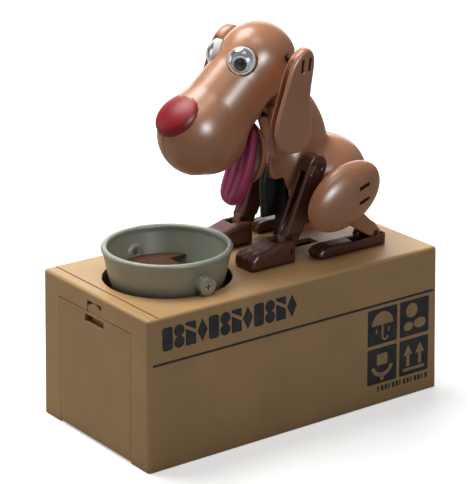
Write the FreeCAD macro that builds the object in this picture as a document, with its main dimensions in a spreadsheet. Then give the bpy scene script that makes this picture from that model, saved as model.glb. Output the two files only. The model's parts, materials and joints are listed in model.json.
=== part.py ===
import FreeCAD, Part

import math
import os
import re

import Sketcher
from FreeCAD import Placement, Rotation, Vector

# Mechanical coin bank: a carton-shaped box with a tilting bowl and a bowing dog on its lid.
# Frame: origin at the centre of the box's underside, +Z up, the dog looks along -X,
# the printed side faces -Y. All lengths are in millimetres and all angles in degrees.

SIZES = {
    # box
    "box_length": 155.0, "box_width": 80.0, "box_height": 66.0, "box_draft": 0.868,
    "wall": 2.0, "edge_round": 1.4, "post_x": 66.0, "post_y": 33.0, "post_radius": 3.2,
    "screw_radius": 1.2, "screw_head_radius": 2.5, "running_gap": 0.06, "loose_gap": 0.3,
    "lid_groove_x": -71.6, "lid_groove_depth": 0.45, "lid_groove_width": 0.9,
    # coin door and its latch
    "door_half_width": 26.8, "door_bottom": 0.8, "door_top": 56.9, "door_thickness": 2.0,
    "door_axis_x": -74.6, "door_axis_z": 4.0, "door_peg_radius": 1.0, "door_ear_radius": 2.1,
    "door_peg_end": 29.6, "recess_half_width": 7.0, "recess_bottom": 52.4, "recess_top": 55.6,
    "tab_half_width": 5.0, "tab_top": 61.6,
    # bowl
    "bowl_x": -39.8, "rim_height": 80.3, "rim_radius": 27.7, "waist_height": 66.0,
    "waist_radius": 24.9, "bowl_bottom": 53.0, "bowl_bottom_radius": 20.5, "bowl_wall": 1.7,
    "lid_hole_radius": 27.5, "pivot_height": 69.9, "pivot_boss_radius": 3.75,
    "pivot_boss_inner": 27.0, "pivot_boss_outer": 29.6, "bowl_tray_height": 68.2,
    # base plate, battery bay and partition
    "base_thickness": 2.0, "partition_x": -9.0, "partition_thickness": 1.8,
    "bay_start": 18.0, "bay_end": 72.0, "bay_half_width": 16.5, "bay_height": 18.6,
    "cell_radius": 7.1, "cell_length": 49.2, "cell_nub_radius": 2.7, "cell_nub_length": 1.0,
    # drive train: two reducing wheels between the motor pinion and the sector on the arm
    "arm_x": 19.8, "arm_z": 37.0, "arm_half_width": 2.6, "fork_x": 24.0, "fork_z": 92.0,
    "fork_depth": 5.6, "fork_half_gap": 1.75,
    "sector_module": 0.8, "sector_teeth": 60.0, "small_teeth": 12.0, "middle_module": 0.6,
    "middle_teeth": 36.0, "fast_module": 0.5, "fast_teeth": 40.0, "sector_mesh_angle": 10.0,
    "middle_mesh_angle": -40.0, "motor_mesh_angle": 115.0, "shaft_radius": 1.0,
    "plate_near": -5.6, "plate_far": 15.6, "plate_thickness": 1.8, "motor_radius": 7.75,
    "motor_length": 18.0, "motor_flat": 6.0,
    # bowl lever
    "lever_x": 2.0, "lever_z": 50.0, "lever_half_width": 2.5,
    # dog: its middle plane stands a little off the box's, and its linkage pivots
    "dog_y": 2.5, "paw_x": 12.0, "paw_z": 71.5, "shoulder_x": 28.3, "shoulder_z": 105.4, "hip_x": 47.0,
    "hip_z": 96.5, "heel_x": 55.5, "heel_z": 71.8, "neck_x": 16.5, "neck_z": 142.5,
    "jaw_x": 5.8, "jaw_z": 130.2, "ear_x": 14.0, "ear_z": 154.5, "pin_radius": 1.3,
    # dog: trunk
    "trunk_x": 44.5, "trunk_z": 93.5, "trunk_rx": 20.8, "trunk_ry": 19.0, "trunk_rz": 19.8,
    "chest_x": 27.5, "chest_z": 103.0, "chest_rx": 12.0, "chest_ry": 11.0, "chest_rz": 17.0,
    "neck_base_x": 29.4, "neck_base_z": 120.0, "neck_rx": 10.2, "neck_ry": 9.4,
    "neck_rz": 24.0, "neck_lean": -28.0, "shell": 1.8,
    # dog: head
    "crown_x": 8.8, "crown_z": 150.9, "crown_radius": 17.2, "muzzle_x": -20.5,
    "muzzle_z": 124.9, "muzzle_radius": 18.0, "head_slimness": 0.9, "nose_x": -31.0, "nose_z": 132.8,
    "nose_radius": 9.4, "eye_x": -6.2, "eye_y": 9.4, "eye_z": 155.2, "eye_turn": 42.0,
    "eye_lift": 13.0, "eye_radius": 5.9, "ear_inner": 22.4, "ear_outer": 29.0,
    # dog: limbs
    "foreleg_inner": 12.7, "foreleg_outer": 19.3, "foreleg_low_half": 4.0, "foreleg_top_half": 4.9,
    "paw_inner": 8.6, "paw_outer": 21.8, "paw_front": -11.6, "paw_back": 15.4, "paw_top": 76.0,
    "thigh_x": 30.6, "thigh_z": 96.4, "thigh_rx": 20.4, "thigh_rz": 15.0, "thigh_y": 28.4,
    "thigh_ry": 7.2, "thigh_inner": 21.4, "foot_front": 25.6, "foot_back": 60.4,
    "foot_inner": 17.2, "foot_outer": 26.4, "foot_top": 71.0,
}

doc = FreeCAD.newDocument("coin_bank")
sheet = doc.addObject("Spreadsheet::Sheet", "Sizes")
for row, (alias, size) in enumerate(SIZES.items(), start=1):
    sheet.set(f"A{row}", alias)
    sheet.set(f"B{row}", str(size))
    sheet.setAlias(f"B{row}", alias)
doc.recompute()

PIECES = []
WORD = re.compile(r"[a-z][a-z_]*[a-z]")
ALONG_Y = Rotation(Vector(1, 0, 0), -90)
SIDES = (("near", -1), ("far", 1))


def bound(text):
    """Write the sheet's name in front of each size in an expression."""
    def named(found):
        word = found.group()
        return f"Sizes.{word}" if word in SIZES else word

    return WORD.sub(named, str(text))


def value(text):
    """The number that an expression of sizes stands for."""
    found = sheet.evalExpression(bound(text))
    return float(getattr(found, "Value", found))


def bind(thing, **properties):
    """Tie properties of an object to expressions of the sheet."""
    for name, text in properties.items():
        thing.setExpression(name, bound(text))


def place(thing, x="0", y="0", z="0", rotation=None):
    """Put an object at expressions of the sheet, turned as asked."""
    if rotation is not None:
        thing.Placement = Placement(Vector(0, 0, 0), rotation)
    for axis, text in zip("xyz", (x, y, z)):
        thing.setExpression(f"Placement.Base.{axis}", bound(text))
    return thing


def piece(label, thing):
    """Keep an object as one named piece of the bank."""
    thing.Label = label
    PIECES.append(thing)
    return thing


def ends(side, inner, outer):
    """The lower and the higher end, along Y, of something on the near (-1) or the far (1) side."""
    return sorted((side * value(inner), side * value(outer)))


def block(name, low, high):
    """A box between two corners."""
    thing = doc.addObject("Part::Box", name)
    bind(
        thing,
        Length=f"({high[0]}) - ({low[0]})",
        Width=f"({high[1]}) - ({low[1]})",
        Height=f"({high[2]}) - ({low[2]})",
    )
    return place(thing, *low)


def rod(name, x, z, y_from, y_to, radius):
    """A cylinder along +Y."""
    thing = doc.addObject("Part::Cylinder", name)
    bind(thing, Radius=radius, Height=f"({y_to}) - ({y_from})")
    return place(thing, x, y_from, z, ALONG_Y)


def post(name, x, y, z_from, z_to, radius):
    """A cylinder along +Z."""
    thing = doc.addObject("Part::Cylinder", name)
    bind(thing, Radius=radius, Height=f"({z_to}) - ({z_from})")
    return place(thing, x, y, z_from)


def egg(name, centre, radii, lean=0.0):
    """An ellipsoid with radii along X, Y and Z, leaning towards +X by an angle."""
    thing = doc.addObject("Part::Ellipsoid", name)
    bind(thing, Radius2=radii[0], Radius3=radii[1], Radius1=radii[2])
    return place(thing, *centre, Rotation(Vector(0, 1, 0), lean))


def ball(name, centre, radius):
    """A sphere."""
    thing = doc.addObject("Part::Sphere", name)
    bind(thing, Radius=radius)
    return place(thing, *centre)


def fuse(name, *parts):
    """The union of several objects."""
    thing = doc.addObject("Part::MultiFuse", name)
    thing.Shapes = list(parts)
    return thing


def cut(name, base, *tools):
    """An object less the tools."""
    thing = doc.addObject("Part::Cut", name)
    thing.Base = base
    thing.Tool = tools[0] if len(tools) == 1 else fuse(name + "_tools", *tools)
    return thing


def common(name, base, tool):
    """What two objects share."""
    thing = doc.addObject("Part::Common", name)
    thing.Base = base
    thing.Tool = tool
    return thing


def group(name, parts):
    """Separate solids kept together as one piece."""
    thing = doc.addObject("Part::Compound", name)
    thing.Links = list(parts)
    return thing


def plate(name, points, y_from, y_to):
    """A flat outline in the XZ plane, extruded along +Y."""
    thing = doc.addObject("Part::Extrusion", name)
    outline = doc.addObject("Part::Feature", name + "_outline")
    corners = [Vector(x, 0, z) for x, z in points]
    outline.Shape = Part.Face(Part.makePolygon(corners + corners[:1]))
    thing.Base = outline
    thing.DirMode = "Custom"
    thing.Dir = Vector(0, 1, 0)
    thing.Solid = True
    bind(thing, LengthFwd=f"({y_to}) - ({y_from})")
    return place(thing, y=y_from)


def curved_plate(name, points, y_from, y_to):
    """A smooth closed outline in the XZ plane, extruded along +Y."""
    curve = Part.BSplineCurve()
    curve.interpolate([Vector(x, value(y_from), z) for x, z in points], PeriodicFlag=True)
    face = Part.Face(Part.Wire(curve.toShape()))
    thing = doc.addObject("Part::Feature", name)
    thing.Shape = face.extrude(Vector(0, value(y_to) - value(y_from), 0))
    return thing


# --- PartDesign helpers ---------------------------------------------------------------


def new_body(label):
    """An empty PartDesign body kept as a piece."""
    return piece(label, doc.addObject("PartDesign::Body", label))


def new_sketch(body, plane, offset="0"):
    """A sketch on one of the body's own origin planes, moved along its normal."""
    sketch = body.newObject("Sketcher::SketchObject", body.Name + "_sketch")
    support = [item for item in body.Origin.OriginFeatures if item.Role == plane][0]
    sketch.AttachmentSupport = [(support, "")]
    sketch.MapMode = "FlatFace"
    sketch.setExpression("AttachmentOffset.Base.z", bound(offset))
    return sketch


def dimension(sketch, kind, where, text):
    """Add one driving dimension tied to the sheet."""
    index = sketch.addConstraint(Sketcher.Constraint(kind, *where, value(text)))
    sketch.setExpression(f"Constraints[{index}]", bound(text))


def rectangle(sketch, x_low, x_high, y_low, y_high):
    """A rectangle whose four sides are driven by expressions."""
    xs = (value(x_low), value(x_high))
    ys = (value(y_low), value(y_high))
    corners = [Vector(xs[i], ys[j], 0) for i, j in ((0, 0), (1, 0), (1, 1), (0, 1))]
    first = sketch.GeometryCount
    for index in range(4):
        sketch.addGeometry(Part.LineSegment(corners[index], corners[(index + 1) % 4]), False)
    for index in range(4):
        after = (index + 1) % 4
        sketch.addConstraint(Sketcher.Constraint("Coincident", first + index, 2, first + after, 1))
        level = "Horizontal" if index % 2 == 0 else "Vertical"
        sketch.addConstraint(Sketcher.Constraint(level, first + index))
    dimension(sketch, "DistanceX", (-1, 1, first, 1), x_low)
    dimension(sketch, "DistanceX", (-1, 1, first + 1, 2), x_high)
    dimension(sketch, "DistanceY", (-1, 1, first, 1), y_low)
    dimension(sketch, "DistanceY", (-1, 1, first + 1, 2), y_high)


def disc(sketch, x, y, radius):
    """A circle whose centre and radius are driven by expressions."""
    centre = Vector(value(x), value(y), 0)
    index = sketch.addGeometry(Part.Circle(centre, Vector(0, 0, 1), value(radius)), False)
    dimension(sketch, "Radius", (index,), radius)
    dimension(sketch, "DistanceX", (-1, 1, index, 3), x)
    dimension(sketch, "DistanceY", (-1, 1, index, 3), y)


def pad(body, sketch, length, taper=None, backwards=False):
    """Raise a sketch into material."""
    feature = body.newObject("PartDesign::Pad", body.Name + "_pad")
    feature.Profile = sketch
    feature.Reversed = backwards
    bind(feature, Length=length)
    if taper is not None:
        bind(feature, TaperAngle=taper)
    doc.recompute()
    return feature


def pocket(body, sketch, length, taper=None, backwards=False):
    """Sink a sketch into the body and make sure that it removed material."""
    before = body.Shape.Volume
    feature = body.newObject("PartDesign::Pocket", body.Name + "_pocket")
    feature.Profile = sketch
    feature.Reversed = backwards
    bind(feature, Length=length)
    if taper is not None:
        bind(feature, TaperAngle=taper)
    doc.recompute()
    if body.Shape.Volume >= before - 1e-6:
        raise RuntimeError(f"{body.Label}: {feature.Name} removed nothing")
    return feature


def outline(sketch, points):
    """A closed chain of straight lines through fixed points."""
    corners = [Vector(x, y, 0) for x, y in points]
    first = sketch.GeometryCount
    count = len(corners)
    for index in range(count):
        sketch.addGeometry(Part.LineSegment(corners[index], corners[(index + 1) % count]), False)
    for index in range(count):
        after = (index + 1) % count
        sketch.addConstraint(Sketcher.Constraint("Coincident", first + index, 2, first + after, 1))
    for index in range(count):
        sketch.addConstraint(Sketcher.Constraint("Block", first + index))


# --- toothed wheels -------------------------------------------------------------------

PRESSURE_ANGLE = math.radians(25)
BACKLASH = 0.16
TIP = 0.8
ROOT = 1.05


def tooth_outline(module, teeth, first_angle, count):
    """Points of count involute teeth, starting with one centred on first_angle."""
    pitch = module * teeth / 2
    base = pitch * math.cos(PRESSURE_ANGLE)
    tip = pitch + TIP * module
    root = pitch - ROOT * module
    half_tooth = math.pi / (2 * teeth) - BACKLASH / (2 * pitch)
    involute_at_pitch = math.tan(PRESSURE_ANGLE) - PRESSURE_ANGLE

    def half_angle(radius):
        angle = math.acos(min(1.0, base / max(radius, base)))
        return half_tooth + involute_at_pitch - (math.tan(angle) - angle)

    start = max(base, root)
    flank = [start + (tip - start) * step / 4 for step in range(5)]
    points = []
    for tooth in range(count):
        centre = first_angle + tooth * 2 * math.pi / teeth
        side = [(root, -half_angle(start))] + [(radius, -half_angle(radius)) for radius in flank]
        for radius, angle in side + [(radius, -angle) for radius, angle in reversed(side)]:
            points.append((radius * math.cos(centre + angle), radius * math.sin(centre + angle)))
    return points


def wheel(name, centre, module, teeth, tooth_angle, y_from, y_to):
    """A full toothed wheel about an axis along Y, with one tooth centred on tooth_angle."""
    count = round(value(teeth))
    points = tooth_outline(value(module), count, math.radians(tooth_angle), count)
    shifted = [(value(centre[0]) + x, value(centre[1]) + z) for x, z in points]
    return plate(name, shifted, y_from, y_to)


def beyond(centre, distance, angle):
    """Expressions for the point at a distance and an angle from a centre in the XZ plane."""
    return (
        f"{centre[0]} + ({distance}) * cos(({angle}) * 1deg)",
        f"{centre[1]} + ({distance}) * sin(({angle}) * 1deg)",
    )


ARM_PIVOT = ("arm_x", "arm_z")
SECOND_GEAR = beyond(ARM_PIVOT, "sector_module * (sector_teeth + small_teeth) / 2", "sector_mesh_angle")
FIRST_GEAR = beyond(SECOND_GEAR, "middle_module * (middle_teeth + small_teeth) / 2", "middle_mesh_angle")
MOTOR_AXIS = beyond(FIRST_GEAR, "fast_module * (fast_teeth + small_teeth) / 2", "motor_mesh_angle")


# --- box ------------------------------------------------------------------------------


def make_case_shell():
    body = new_body("case_shell")
    half_length = "box_length / 2"
    half_width = "box_width / 2"
    sketch = new_sketch(body, "XY_Plane")
    rectangle(sketch, f"-{half_length}", half_length, f"-{half_width}", half_width)
    block_pad = pad(body, sketch, "box_height", "-box_draft")
    rounded = body.newObject("PartDesign::Fillet", "case_edges")
    edges = []
    for index, edge in enumerate(block_pad.Shape.Edges, start=1):
        if edge.BoundBox.ZMax > value("box_height") - 0.01:
            edges.append(f"Edge{index}")
    rounded.Base = (block_pad, edges)
    bind(rounded, Radius="edge_round")
    doc.recompute()
    sketch = new_sketch(body, "XY_Plane")
    inside = (f"-{half_length} + wall", f"{half_length} - wall")
    rectangle(sketch, *inside, f"-{half_width} + wall", f"{half_width} - wall")
    pocket(body, sketch, "box_height - wall", "-box_draft", True)
    # corner posts that take the base screws
    sketch = new_sketch(body, "XY_Plane", "base_thickness + 0.1")
    for x in ("post_x", "-post_x"):
        for y in ("post_y", "-post_y"):
            disc(sketch, x, y, "post_radius")
    pad(body, sketch, "box_height - wall - base_thickness")
    sketch = new_sketch(body, "XY_Plane", "base_thickness")
    for x in ("post_x", "-post_x"):
        for y in ("post_y", "-post_y"):
            disc(sketch, x, y, "screw_radius")
    pocket(body, sketch, "12", None, True)
    # round hole under the bowl, notched for the two pivot brackets
    sketch = new_sketch(body, "XY_Plane", "box_height + 1")
    disc(sketch, "bowl_x", "0", "lid_hole_radius")
    pocket(body, sketch, "wall + 2")
    for side in ("", "-"):
        sketch = new_sketch(body, "XY_Plane", "box_height + 1")
        ends = sorted((f"{side}(pivot_boss_outer - 0.6)", f"{side}(pivot_boss_inner - 2)"), key=value)
        rectangle(sketch, "bowl_x - 3.2", "bowl_x + 3.2", *ends)
        pocket(body, sketch, "wall + 2")
    # slot for the drive arm
    sketch = new_sketch(body, "XY_Plane", "box_height + 1")
    rectangle(sketch, "arm_x - 3", "arm_x + 19", "-arm_half_width - 0.8", "arm_half_width + 0.8")
    pocket(body, sketch, "wall + 2")
    # shallow seam across the lid
    sketch = new_sketch(body, "XY_Plane", "box_height + 1")
    across = ("-box_width / 2", "box_width / 2 - 2")
    rectangle(sketch, "lid_groove_x", "lid_groove_x + lid_groove_width", *across)
    pocket(body, sketch, "lid_groove_depth + 1")
    # door opening with the latch notch above it
    sketch = new_sketch(body, "YZ_Plane", "-box_length / 2 - 1")
    rectangle(sketch, "-door_half_width - 0.2", "door_half_width + 0.2", "-1", "door_top + 0.3")
    pocket(body, sketch, "wall + 3", None, True)
    sketch = new_sketch(body, "YZ_Plane", "-box_length / 2 - 1")
    rectangle(sketch, "-tab_half_width - 0.3", "tab_half_width + 0.3", "door_top - 1", "tab_top + 0.4")
    pocket(body, sketch, "wall + 3", None, True)
    # lugs beside the opening that carry the door's pegs
    for side in ("", "-"):
        sketch = new_sketch(body, "XY_Plane", "0.5")
        ends = sorted((f"{side}(door_half_width + 0.6)", f"{side}(door_half_width + 4.2)"), key=value)
        rectangle(sketch, "-box_length / 2 + 1", "door_axis_x + 2.4", *ends)
        pad(body, sketch, "door_axis_z + 2")
        sketch = new_sketch(body, "XZ_Plane", f"{'-' if side == '' else ''}(door_half_width - 0.5)")
        disc(sketch, "door_axis_x", "door_axis_z", "door_peg_radius + running_gap")
        pocket(body, sketch, "door_peg_end - door_half_width + 1", None, side == "-")
    return body


def make_coin_door():
    """A flat door with a finger recess, hung on two pegs at its foot."""
    panel = block(
        "door_panel",
        ("0", "-door_half_width", "door_bottom"),
        ("door_thickness", "door_half_width", "door_top"),
    )
    recess = block(
        "door_recess",
        ("-1", "-recess_half_width", "recess_bottom"),
        ("door_thickness + 1", "recess_half_width", "recess_top"),
    )
    leaning = cut("door_leaf", panel, recess)
    place(leaning, "-box_length / 2", "0", "0", Rotation(Vector(0, 1, 0), value("box_draft")))
    parts = [leaning]
    axis = ("door_axis_x", "door_axis_z")
    for name, side in SIDES:
        ear = ends(side, "door_half_width", "door_half_width - 3")
        peg = ends(side, "door_peg_end", "door_half_width - 3")
        parts.append(rod(f"door_ear_{name}", *axis, *ear, "door_ear_radius"))
        parts.append(rod(f"door_peg_{name}", *axis, *peg, "door_peg_radius"))
    piece("coin_door", fuse("coin_door", *parts))


def make_door_latch():
    """The press-in tab above the recess, with the tongue that carries it behind the door."""
    tongue = block(
        "latch_tongue",
        ("-box_length / 2 + door_thickness + 1.15", "-tab_half_width", "recess_bottom - 4"),
        ("-box_length / 2 + door_thickness + 2.4", "tab_half_width", "door_top + 1.2"),
    )
    face = block(
        "latch_face",
        ("-box_length / 2 + 1.1", "-tab_half_width", "door_top + 0.2"),
        ("-box_length / 2 + door_thickness + 2.4", "tab_half_width", "tab_top - 1.6"),
    )
    crown = doc.addObject("Part::Cylinder", "latch_crown")
    bind(crown, Radius="tab_half_width", Height="door_thickness + 1.3")
    place(crown, "-box_length / 2 + 1.1", "0", "tab_top - tab_half_width", Rotation(Vector(0, 1, 0), 90))
    clip = block(
        "latch_clip",
        ("-box_length / 2", "-tab_half_width", "door_top + 0.2"),
        ("-box_length / 2 + 6", "tab_half_width", "tab_top"),
    )
    piece("door_latch", fuse("door_latch", tongue, face, common("latch_arch", crown, clip)))


def make_base_plate():
    """The screwed-in underside with its battery bay."""
    gap = 0.25
    plate_block = block(
        "base_sheet",
        ("-box_length / 2 + wall + 5", f"-box_width / 2 + wall + {gap}", "0"),
        (f"box_length / 2 - wall - {gap}", f"box_width / 2 - wall - {gap}", "base_thickness"),
    )
    bay = block(
        "bay_outer",
        ("bay_start - 1.6", "-bay_half_width - 1.6", "0"),
        ("bay_end + 1.6", "bay_half_width + 1.6", "bay_height + 1.4"),
    )
    hollow = block(
        "bay_inner",
        ("bay_start", "-bay_half_width", "-1"),
        ("bay_end", "bay_half_width", "bay_height"),
    )
    holes = []
    for x in ("post_x", "-post_x"):
        for y in ("post_y", "-post_y"):
            holes.append(post("base_screw_hole", x, y, "-1", "base_thickness + 1", "screw_radius + 0.2"))
            holes.append(post("base_screw_sink", x, y, "-1", "1.2", "screw_head_radius + 0.2"))
    slot = block("base_switch_slot", ("-2.6", "21.4", "-1"), ("10.6", "26.6", "base_thickness + 1"))
    fixing = post("cover_screw_hole", "bay_start - 7", "0", "-1", "7", "screw_radius")
    boss = post("cover_screw_boss", "bay_start - 7", "0", "base_thickness - 0.5", "8.5", "3")
    ledge = block("cover_ledge", ("bay_start - 12", "-6.2", "-1"), ("bay_start + 1", "6.2", "1.2"))
    solid = fuse("base_solid", plate_block, bay, boss)
    piece("base_plate", cut("base_plate", solid, hollow, slot, fixing, ledge, *holes))


def screw(name, head_radius, head_height, shank_radius, length):
    """A pan-head screw with a cross recess, pointing along +Z with its head below."""
    shank = post(f"{name}_shank", "0", "0", "0", length, shank_radius)
    head = post(f"{name}_head", "0", "0", f"-({head_height})", "0", head_radius)
    reach = 0.62 * value(head_radius)
    slots = []
    for half_x, half_y in ((reach, 0.28), (0.28, reach)):
        low = (-half_x, -half_y, f"-({head_height}) - 1")
        high = (half_x, half_y, f"-({head_height}) + 0.6")
        slots.append(block(f"{name}_slot", low, high))
    return cut(name, fuse(f"{name}_blank", shank, head), *slots)


def make_case_screws():
    screws = []
    for x in ("post_x", "-post_x"):
        for y in ("post_y", "-post_y"):
            fixing = screw("case_screw", "screw_head_radius", "1.0", "screw_radius", "10")
            screws.append(place(fixing, x, y, "1.2"))
    piece("case_screws", group("case_screws", screws))


def make_partition():
    """The wall between the coin space and the works, with lugs for the bowl lever."""
    wall_block = block(
        "partition_slab",
        ("partition_x", "-box_width / 2 + wall + 1", "base_thickness + 0.05"),
        ("partition_x + partition_thickness", "box_width / 2 - wall - 1", "box_height - wall - 0.1"),
    )
    window = block(
        "partition_window",
        ("partition_x - 1", "-lever_half_width - 1", "38"),
        ("partition_x + 4", "lever_half_width + 1", "box_height"),
    )
    parts = [cut("partition_sheet", wall_block, window)]
    for y in ("-lever_half_width - 2.6", "lever_half_width + 0.8"):
        low = ("partition_x + 1", y, "lever_z - 3")
        parts.append(block("lever_lug", low, ("lever_x + 3", f"{y} + 1.8", "lever_z + 3")))
    bored = cut(
        "partition_wall_bored",
        fuse("partition_parts", *parts),
        rod("lever_bore", "lever_x", "lever_z", "-8", "8", "1.0"),
    )
    piece("partition_wall", bored)
    piece("lever_pin", rod("lever_pin", "lever_x", "lever_z", "-6", "6", "1.0"))


# --- bowl -----------------------------------------------------------------------------


def make_bowl():
    body = new_body("bowl")
    sketch = new_sketch(body, "XZ_Plane")
    step = (value("rim_radius") - value("waist_radius")) / (value("rim_height") - value("waist_height"))
    low = value("bowl_bottom")
    points = [
        (0, low),
        (value("bowl_bottom_radius"), low),
        (value("bowl_bottom_radius") + 1.6, low + 1.8),
        (value("waist_radius"), value("waist_height")),
        (value("rim_radius") - 3 * step, value("rim_height") - 3),
        (value("rim_radius"), value("rim_height") - 2.2),
        (value("rim_radius"), value("rim_height") - 0.7),
        (value("rim_radius") - 0.7, value("rim_height")),
        (value("rim_radius") - 1.9, value("rim_height")),
        (value("rim_radius") - 2.5, value("rim_height") - 0.7),
        (value("waist_radius") - value("bowl_wall"), value("waist_height")),
        (value("bowl_bottom_radius"), low + 2.6),
        (value("bowl_bottom_radius") - 1, low + 1.7),
        (0, low + 1.7),
    ]
    outline(sketch, points)
    turned = body.newObject("PartDesign::Revolution", "bowl_turned")
    turned.Profile = sketch
    turned.ReferenceAxis = (sketch, ["V_Axis"])
    turned.Angle = 360
    doc.recompute()
    # bosses on the pivot line
    for side in ("", "-"):
        sketch = new_sketch(body, "XZ_Plane", f"{'-' if side == '' else ''}(waist_radius - 0.6)")
        disc(sketch, "0", "pivot_height", "pivot_boss_radius - 0.4")
        pad(body, sketch, "pivot_boss_inner - running_gap - waist_radius + 0.6", None, side == "")
    sketch = new_sketch(body, "XZ_Plane", "-40")
    disc(sketch, "0", "pivot_height", "shaft_radius + running_gap")
    pocket(body, sketch, "80", None, True)
    # the gap through which the coins leave, and the heel that the lever holds up
    sketch = new_sketch(body, "XY_Plane", "bowl_bottom - 1")
    rectangle(sketch, "13.5", "19.5", "-14", "14")
    pocket(body, sketch, "4", None, True)
    bind(body, **{"Placement.Base.x": "bowl_x"})


def make_coin_tray():
    """The brown false floor, open at the side where the coins slide out."""
    radius = "waist_radius - bowl_wall - 0.25"
    floor = post("tray_floor", "bowl_x", "0", "bowl_tray_height - 1.4", "bowl_tray_height", radius)
    mouth = block(
        "tray_mouth",
        ("bowl_x + 10", "-13", "bowl_tray_height - 3"),
        ("bowl_x + 40", "13", "bowl_tray_height + 3"),
    )
    legs = []
    foot, top = "bowl_bottom + 1.75", "bowl_tray_height - 1"
    for x, y in ((-12, -8), (-12, 8), (4, -12), (4, 12)):
        legs.append(post("tray_leg", f"bowl_x + {x}", y, foot, top, "1.5"))
    piece("coin_tray", fuse("coin_tray", cut("tray_sheet", floor, mouth), *legs))


def make_bowl_brackets():
    """Two brackets under the lid that carry the bowl, each with a sunk pivot screw."""
    brackets = []
    screws = []
    pivot = ("bowl_x", "pivot_height")
    low, high = "box_height - wall - 2", "box_height - wall - 0.1"
    for name, side in SIDES:
        arm = ends(side, "pivot_boss_inner", "pivot_boss_inner + 1.5")
        foot = ends(side, "pivot_boss_inner", "pivot_boss_inner + 8")
        boss = ends(side, "pivot_boss_inner", "pivot_boss_outer")
        sink = ends(side, "pivot_boss_outer - 1.1", "pivot_boss_outer + 1.4")
        upright = block(
            f"bracket_upright_{name}", ("bowl_x - 2.6", arm[0], low), ("bowl_x + 2.6", arm[1], "pivot_height")
        )
        flange = block(f"bracket_foot_{name}", ("bowl_x - 5", foot[0], low), ("bowl_x + 5", foot[1], high))
        head = rod(f"bracket_boss_{name}", *pivot, *boss, "pivot_boss_radius")
        drilled = cut(
            f"bracket_{name}",
            fuse(f"bracket_solid_{name}", upright, flange, head),
            rod(f"bracket_bore_{name}", *pivot, boss[0] - 1, boss[1] + 1, "shaft_radius"),
            rod(f"bracket_sink_{name}", *pivot, *sink, "2.3"),
        )
        brackets.append(drilled)
        fixing = screw(f"pivot_screw_{name}", "2.2", "0.9", "shaft_radius", "5.4")
        depth = f"{side} * (pivot_boss_outer - 1.1)"
        screws.append(place(fixing, "bowl_x", depth, "pivot_height", Rotation(Vector(1, 0, 0), 90 * side)))
    piece("bowl_brackets", group("bowl_brackets", brackets))
    piece("bowl_pivot_screws", group("bowl_pivot_screws", screws))


def make_bowl_lever():
    """A bell crank: its long end holds the bowl level, its short end rests over the arm's finger."""
    x, z = value("lever_x"), value("lever_z")
    points = [
        (x - 21, z + 2.2), (x - 21, z + 0.4), (x - 3, z - 2.6), (x + 4.6, z - 8.2), (x + 7.6, z - 8.2),
        (x + 7.8, z - 6), (x + 3, z + 1.5), (x, z + 3), (x - 3, z + 2.2), (x - 16, z + 2.4),
    ]
    blank = plate("lever_blank", points, "-lever_half_width", "lever_half_width")
    bore = rod("lever_hole", "lever_x", "lever_z", "-5", "5", "1.0 + running_gap")
    piece("bowl_lever", cut("bowl_lever", blank, bore))


# --- drive train ----------------------------------------------------------------------

SPACERS = ((70.0, 59.5), (13.2, 59.5), (70.8, 24.8))
FAR_FACE = "plate_far + plate_thickness"


def mesh_gap(angle, teeth):
    """Angle of a tooth beside the gap that faces back along a line of centres."""
    return angle + 180.0 + 180.0 / value(teeth)


def make_drive_arm():
    """The arm that bows the dog: fork above, sector below, finger towards the lever."""
    pivot_x, pivot_z = value("arm_x"), value("arm_z")
    run = value("fork_x") - pivot_x
    rise = value("fork_z") - pivot_z
    reach = math.hypot(run, rise)

    def along(distance, aside):
        """A point at a distance along the arm and a distance beside it."""
        x = (distance * run + aside * rise) / reach
        z = (distance * rise - aside * run) / reach
        return (pivot_x + x, pivot_z + z)

    half = "arm_half_width"
    hub_half, tip_half, tip = 4.6, 3.6, reach + 7
    sides = [along(0, -hub_half), along(0, hub_half), along(tip, tip_half), along(tip, -tip_half)]
    column = plate("arm_column", sides, f"-{half}", half)
    gap = value("fork_half_gap")
    slot_foot = reach - value("fork_depth")
    slot = [along(slot_foot, -gap), along(slot_foot, gap), along(tip + 1, gap), along(tip + 1, -gap)]
    opening = plate("arm_fork", slot, f"-{half} - 1", f"{half} + 1")
    hub = rod("arm_hub", "arm_x", "arm_z", f"-{half}", half, "5")
    module = value("sector_module")
    teeth = round(value("sector_teeth"))
    pitch = 360.0 / teeth
    count = 8
    start = value("sector_mesh_angle") - 2 * pitch
    last = start + (count - 1) * pitch
    ring = tooth_outline(module, teeth, math.radians(start), count)
    rim = module * teeth / 2 - 2 * module
    for angle in (last + 4, start - 4):
        ring.append((rim * math.cos(math.radians(angle)), rim * math.sin(math.radians(angle))))
    ring[-1:-1] = [(2, 3), (2, -3)]
    sector = plate("arm_sector", [(pivot_x + x, pivot_z + z) for x, z in ring], f"-{half}", half)
    nib = [(0, -3), (0, 3), (-9.4, 4.3), (-10.4, 3.4), (-9.0, 0)]
    finger = plate("arm_finger", [(pivot_x + x, pivot_z + z) for x, z in nib], f"-{half}", half)
    solid = fuse("arm_solid", column, hub, sector, finger)
    bore = rod("arm_bore", "arm_x", "arm_z", "-5", "5", "shaft_radius + 0.5 + running_gap")
    piece("drive_arm", cut("drive_arm", solid, opening, bore))


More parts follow.
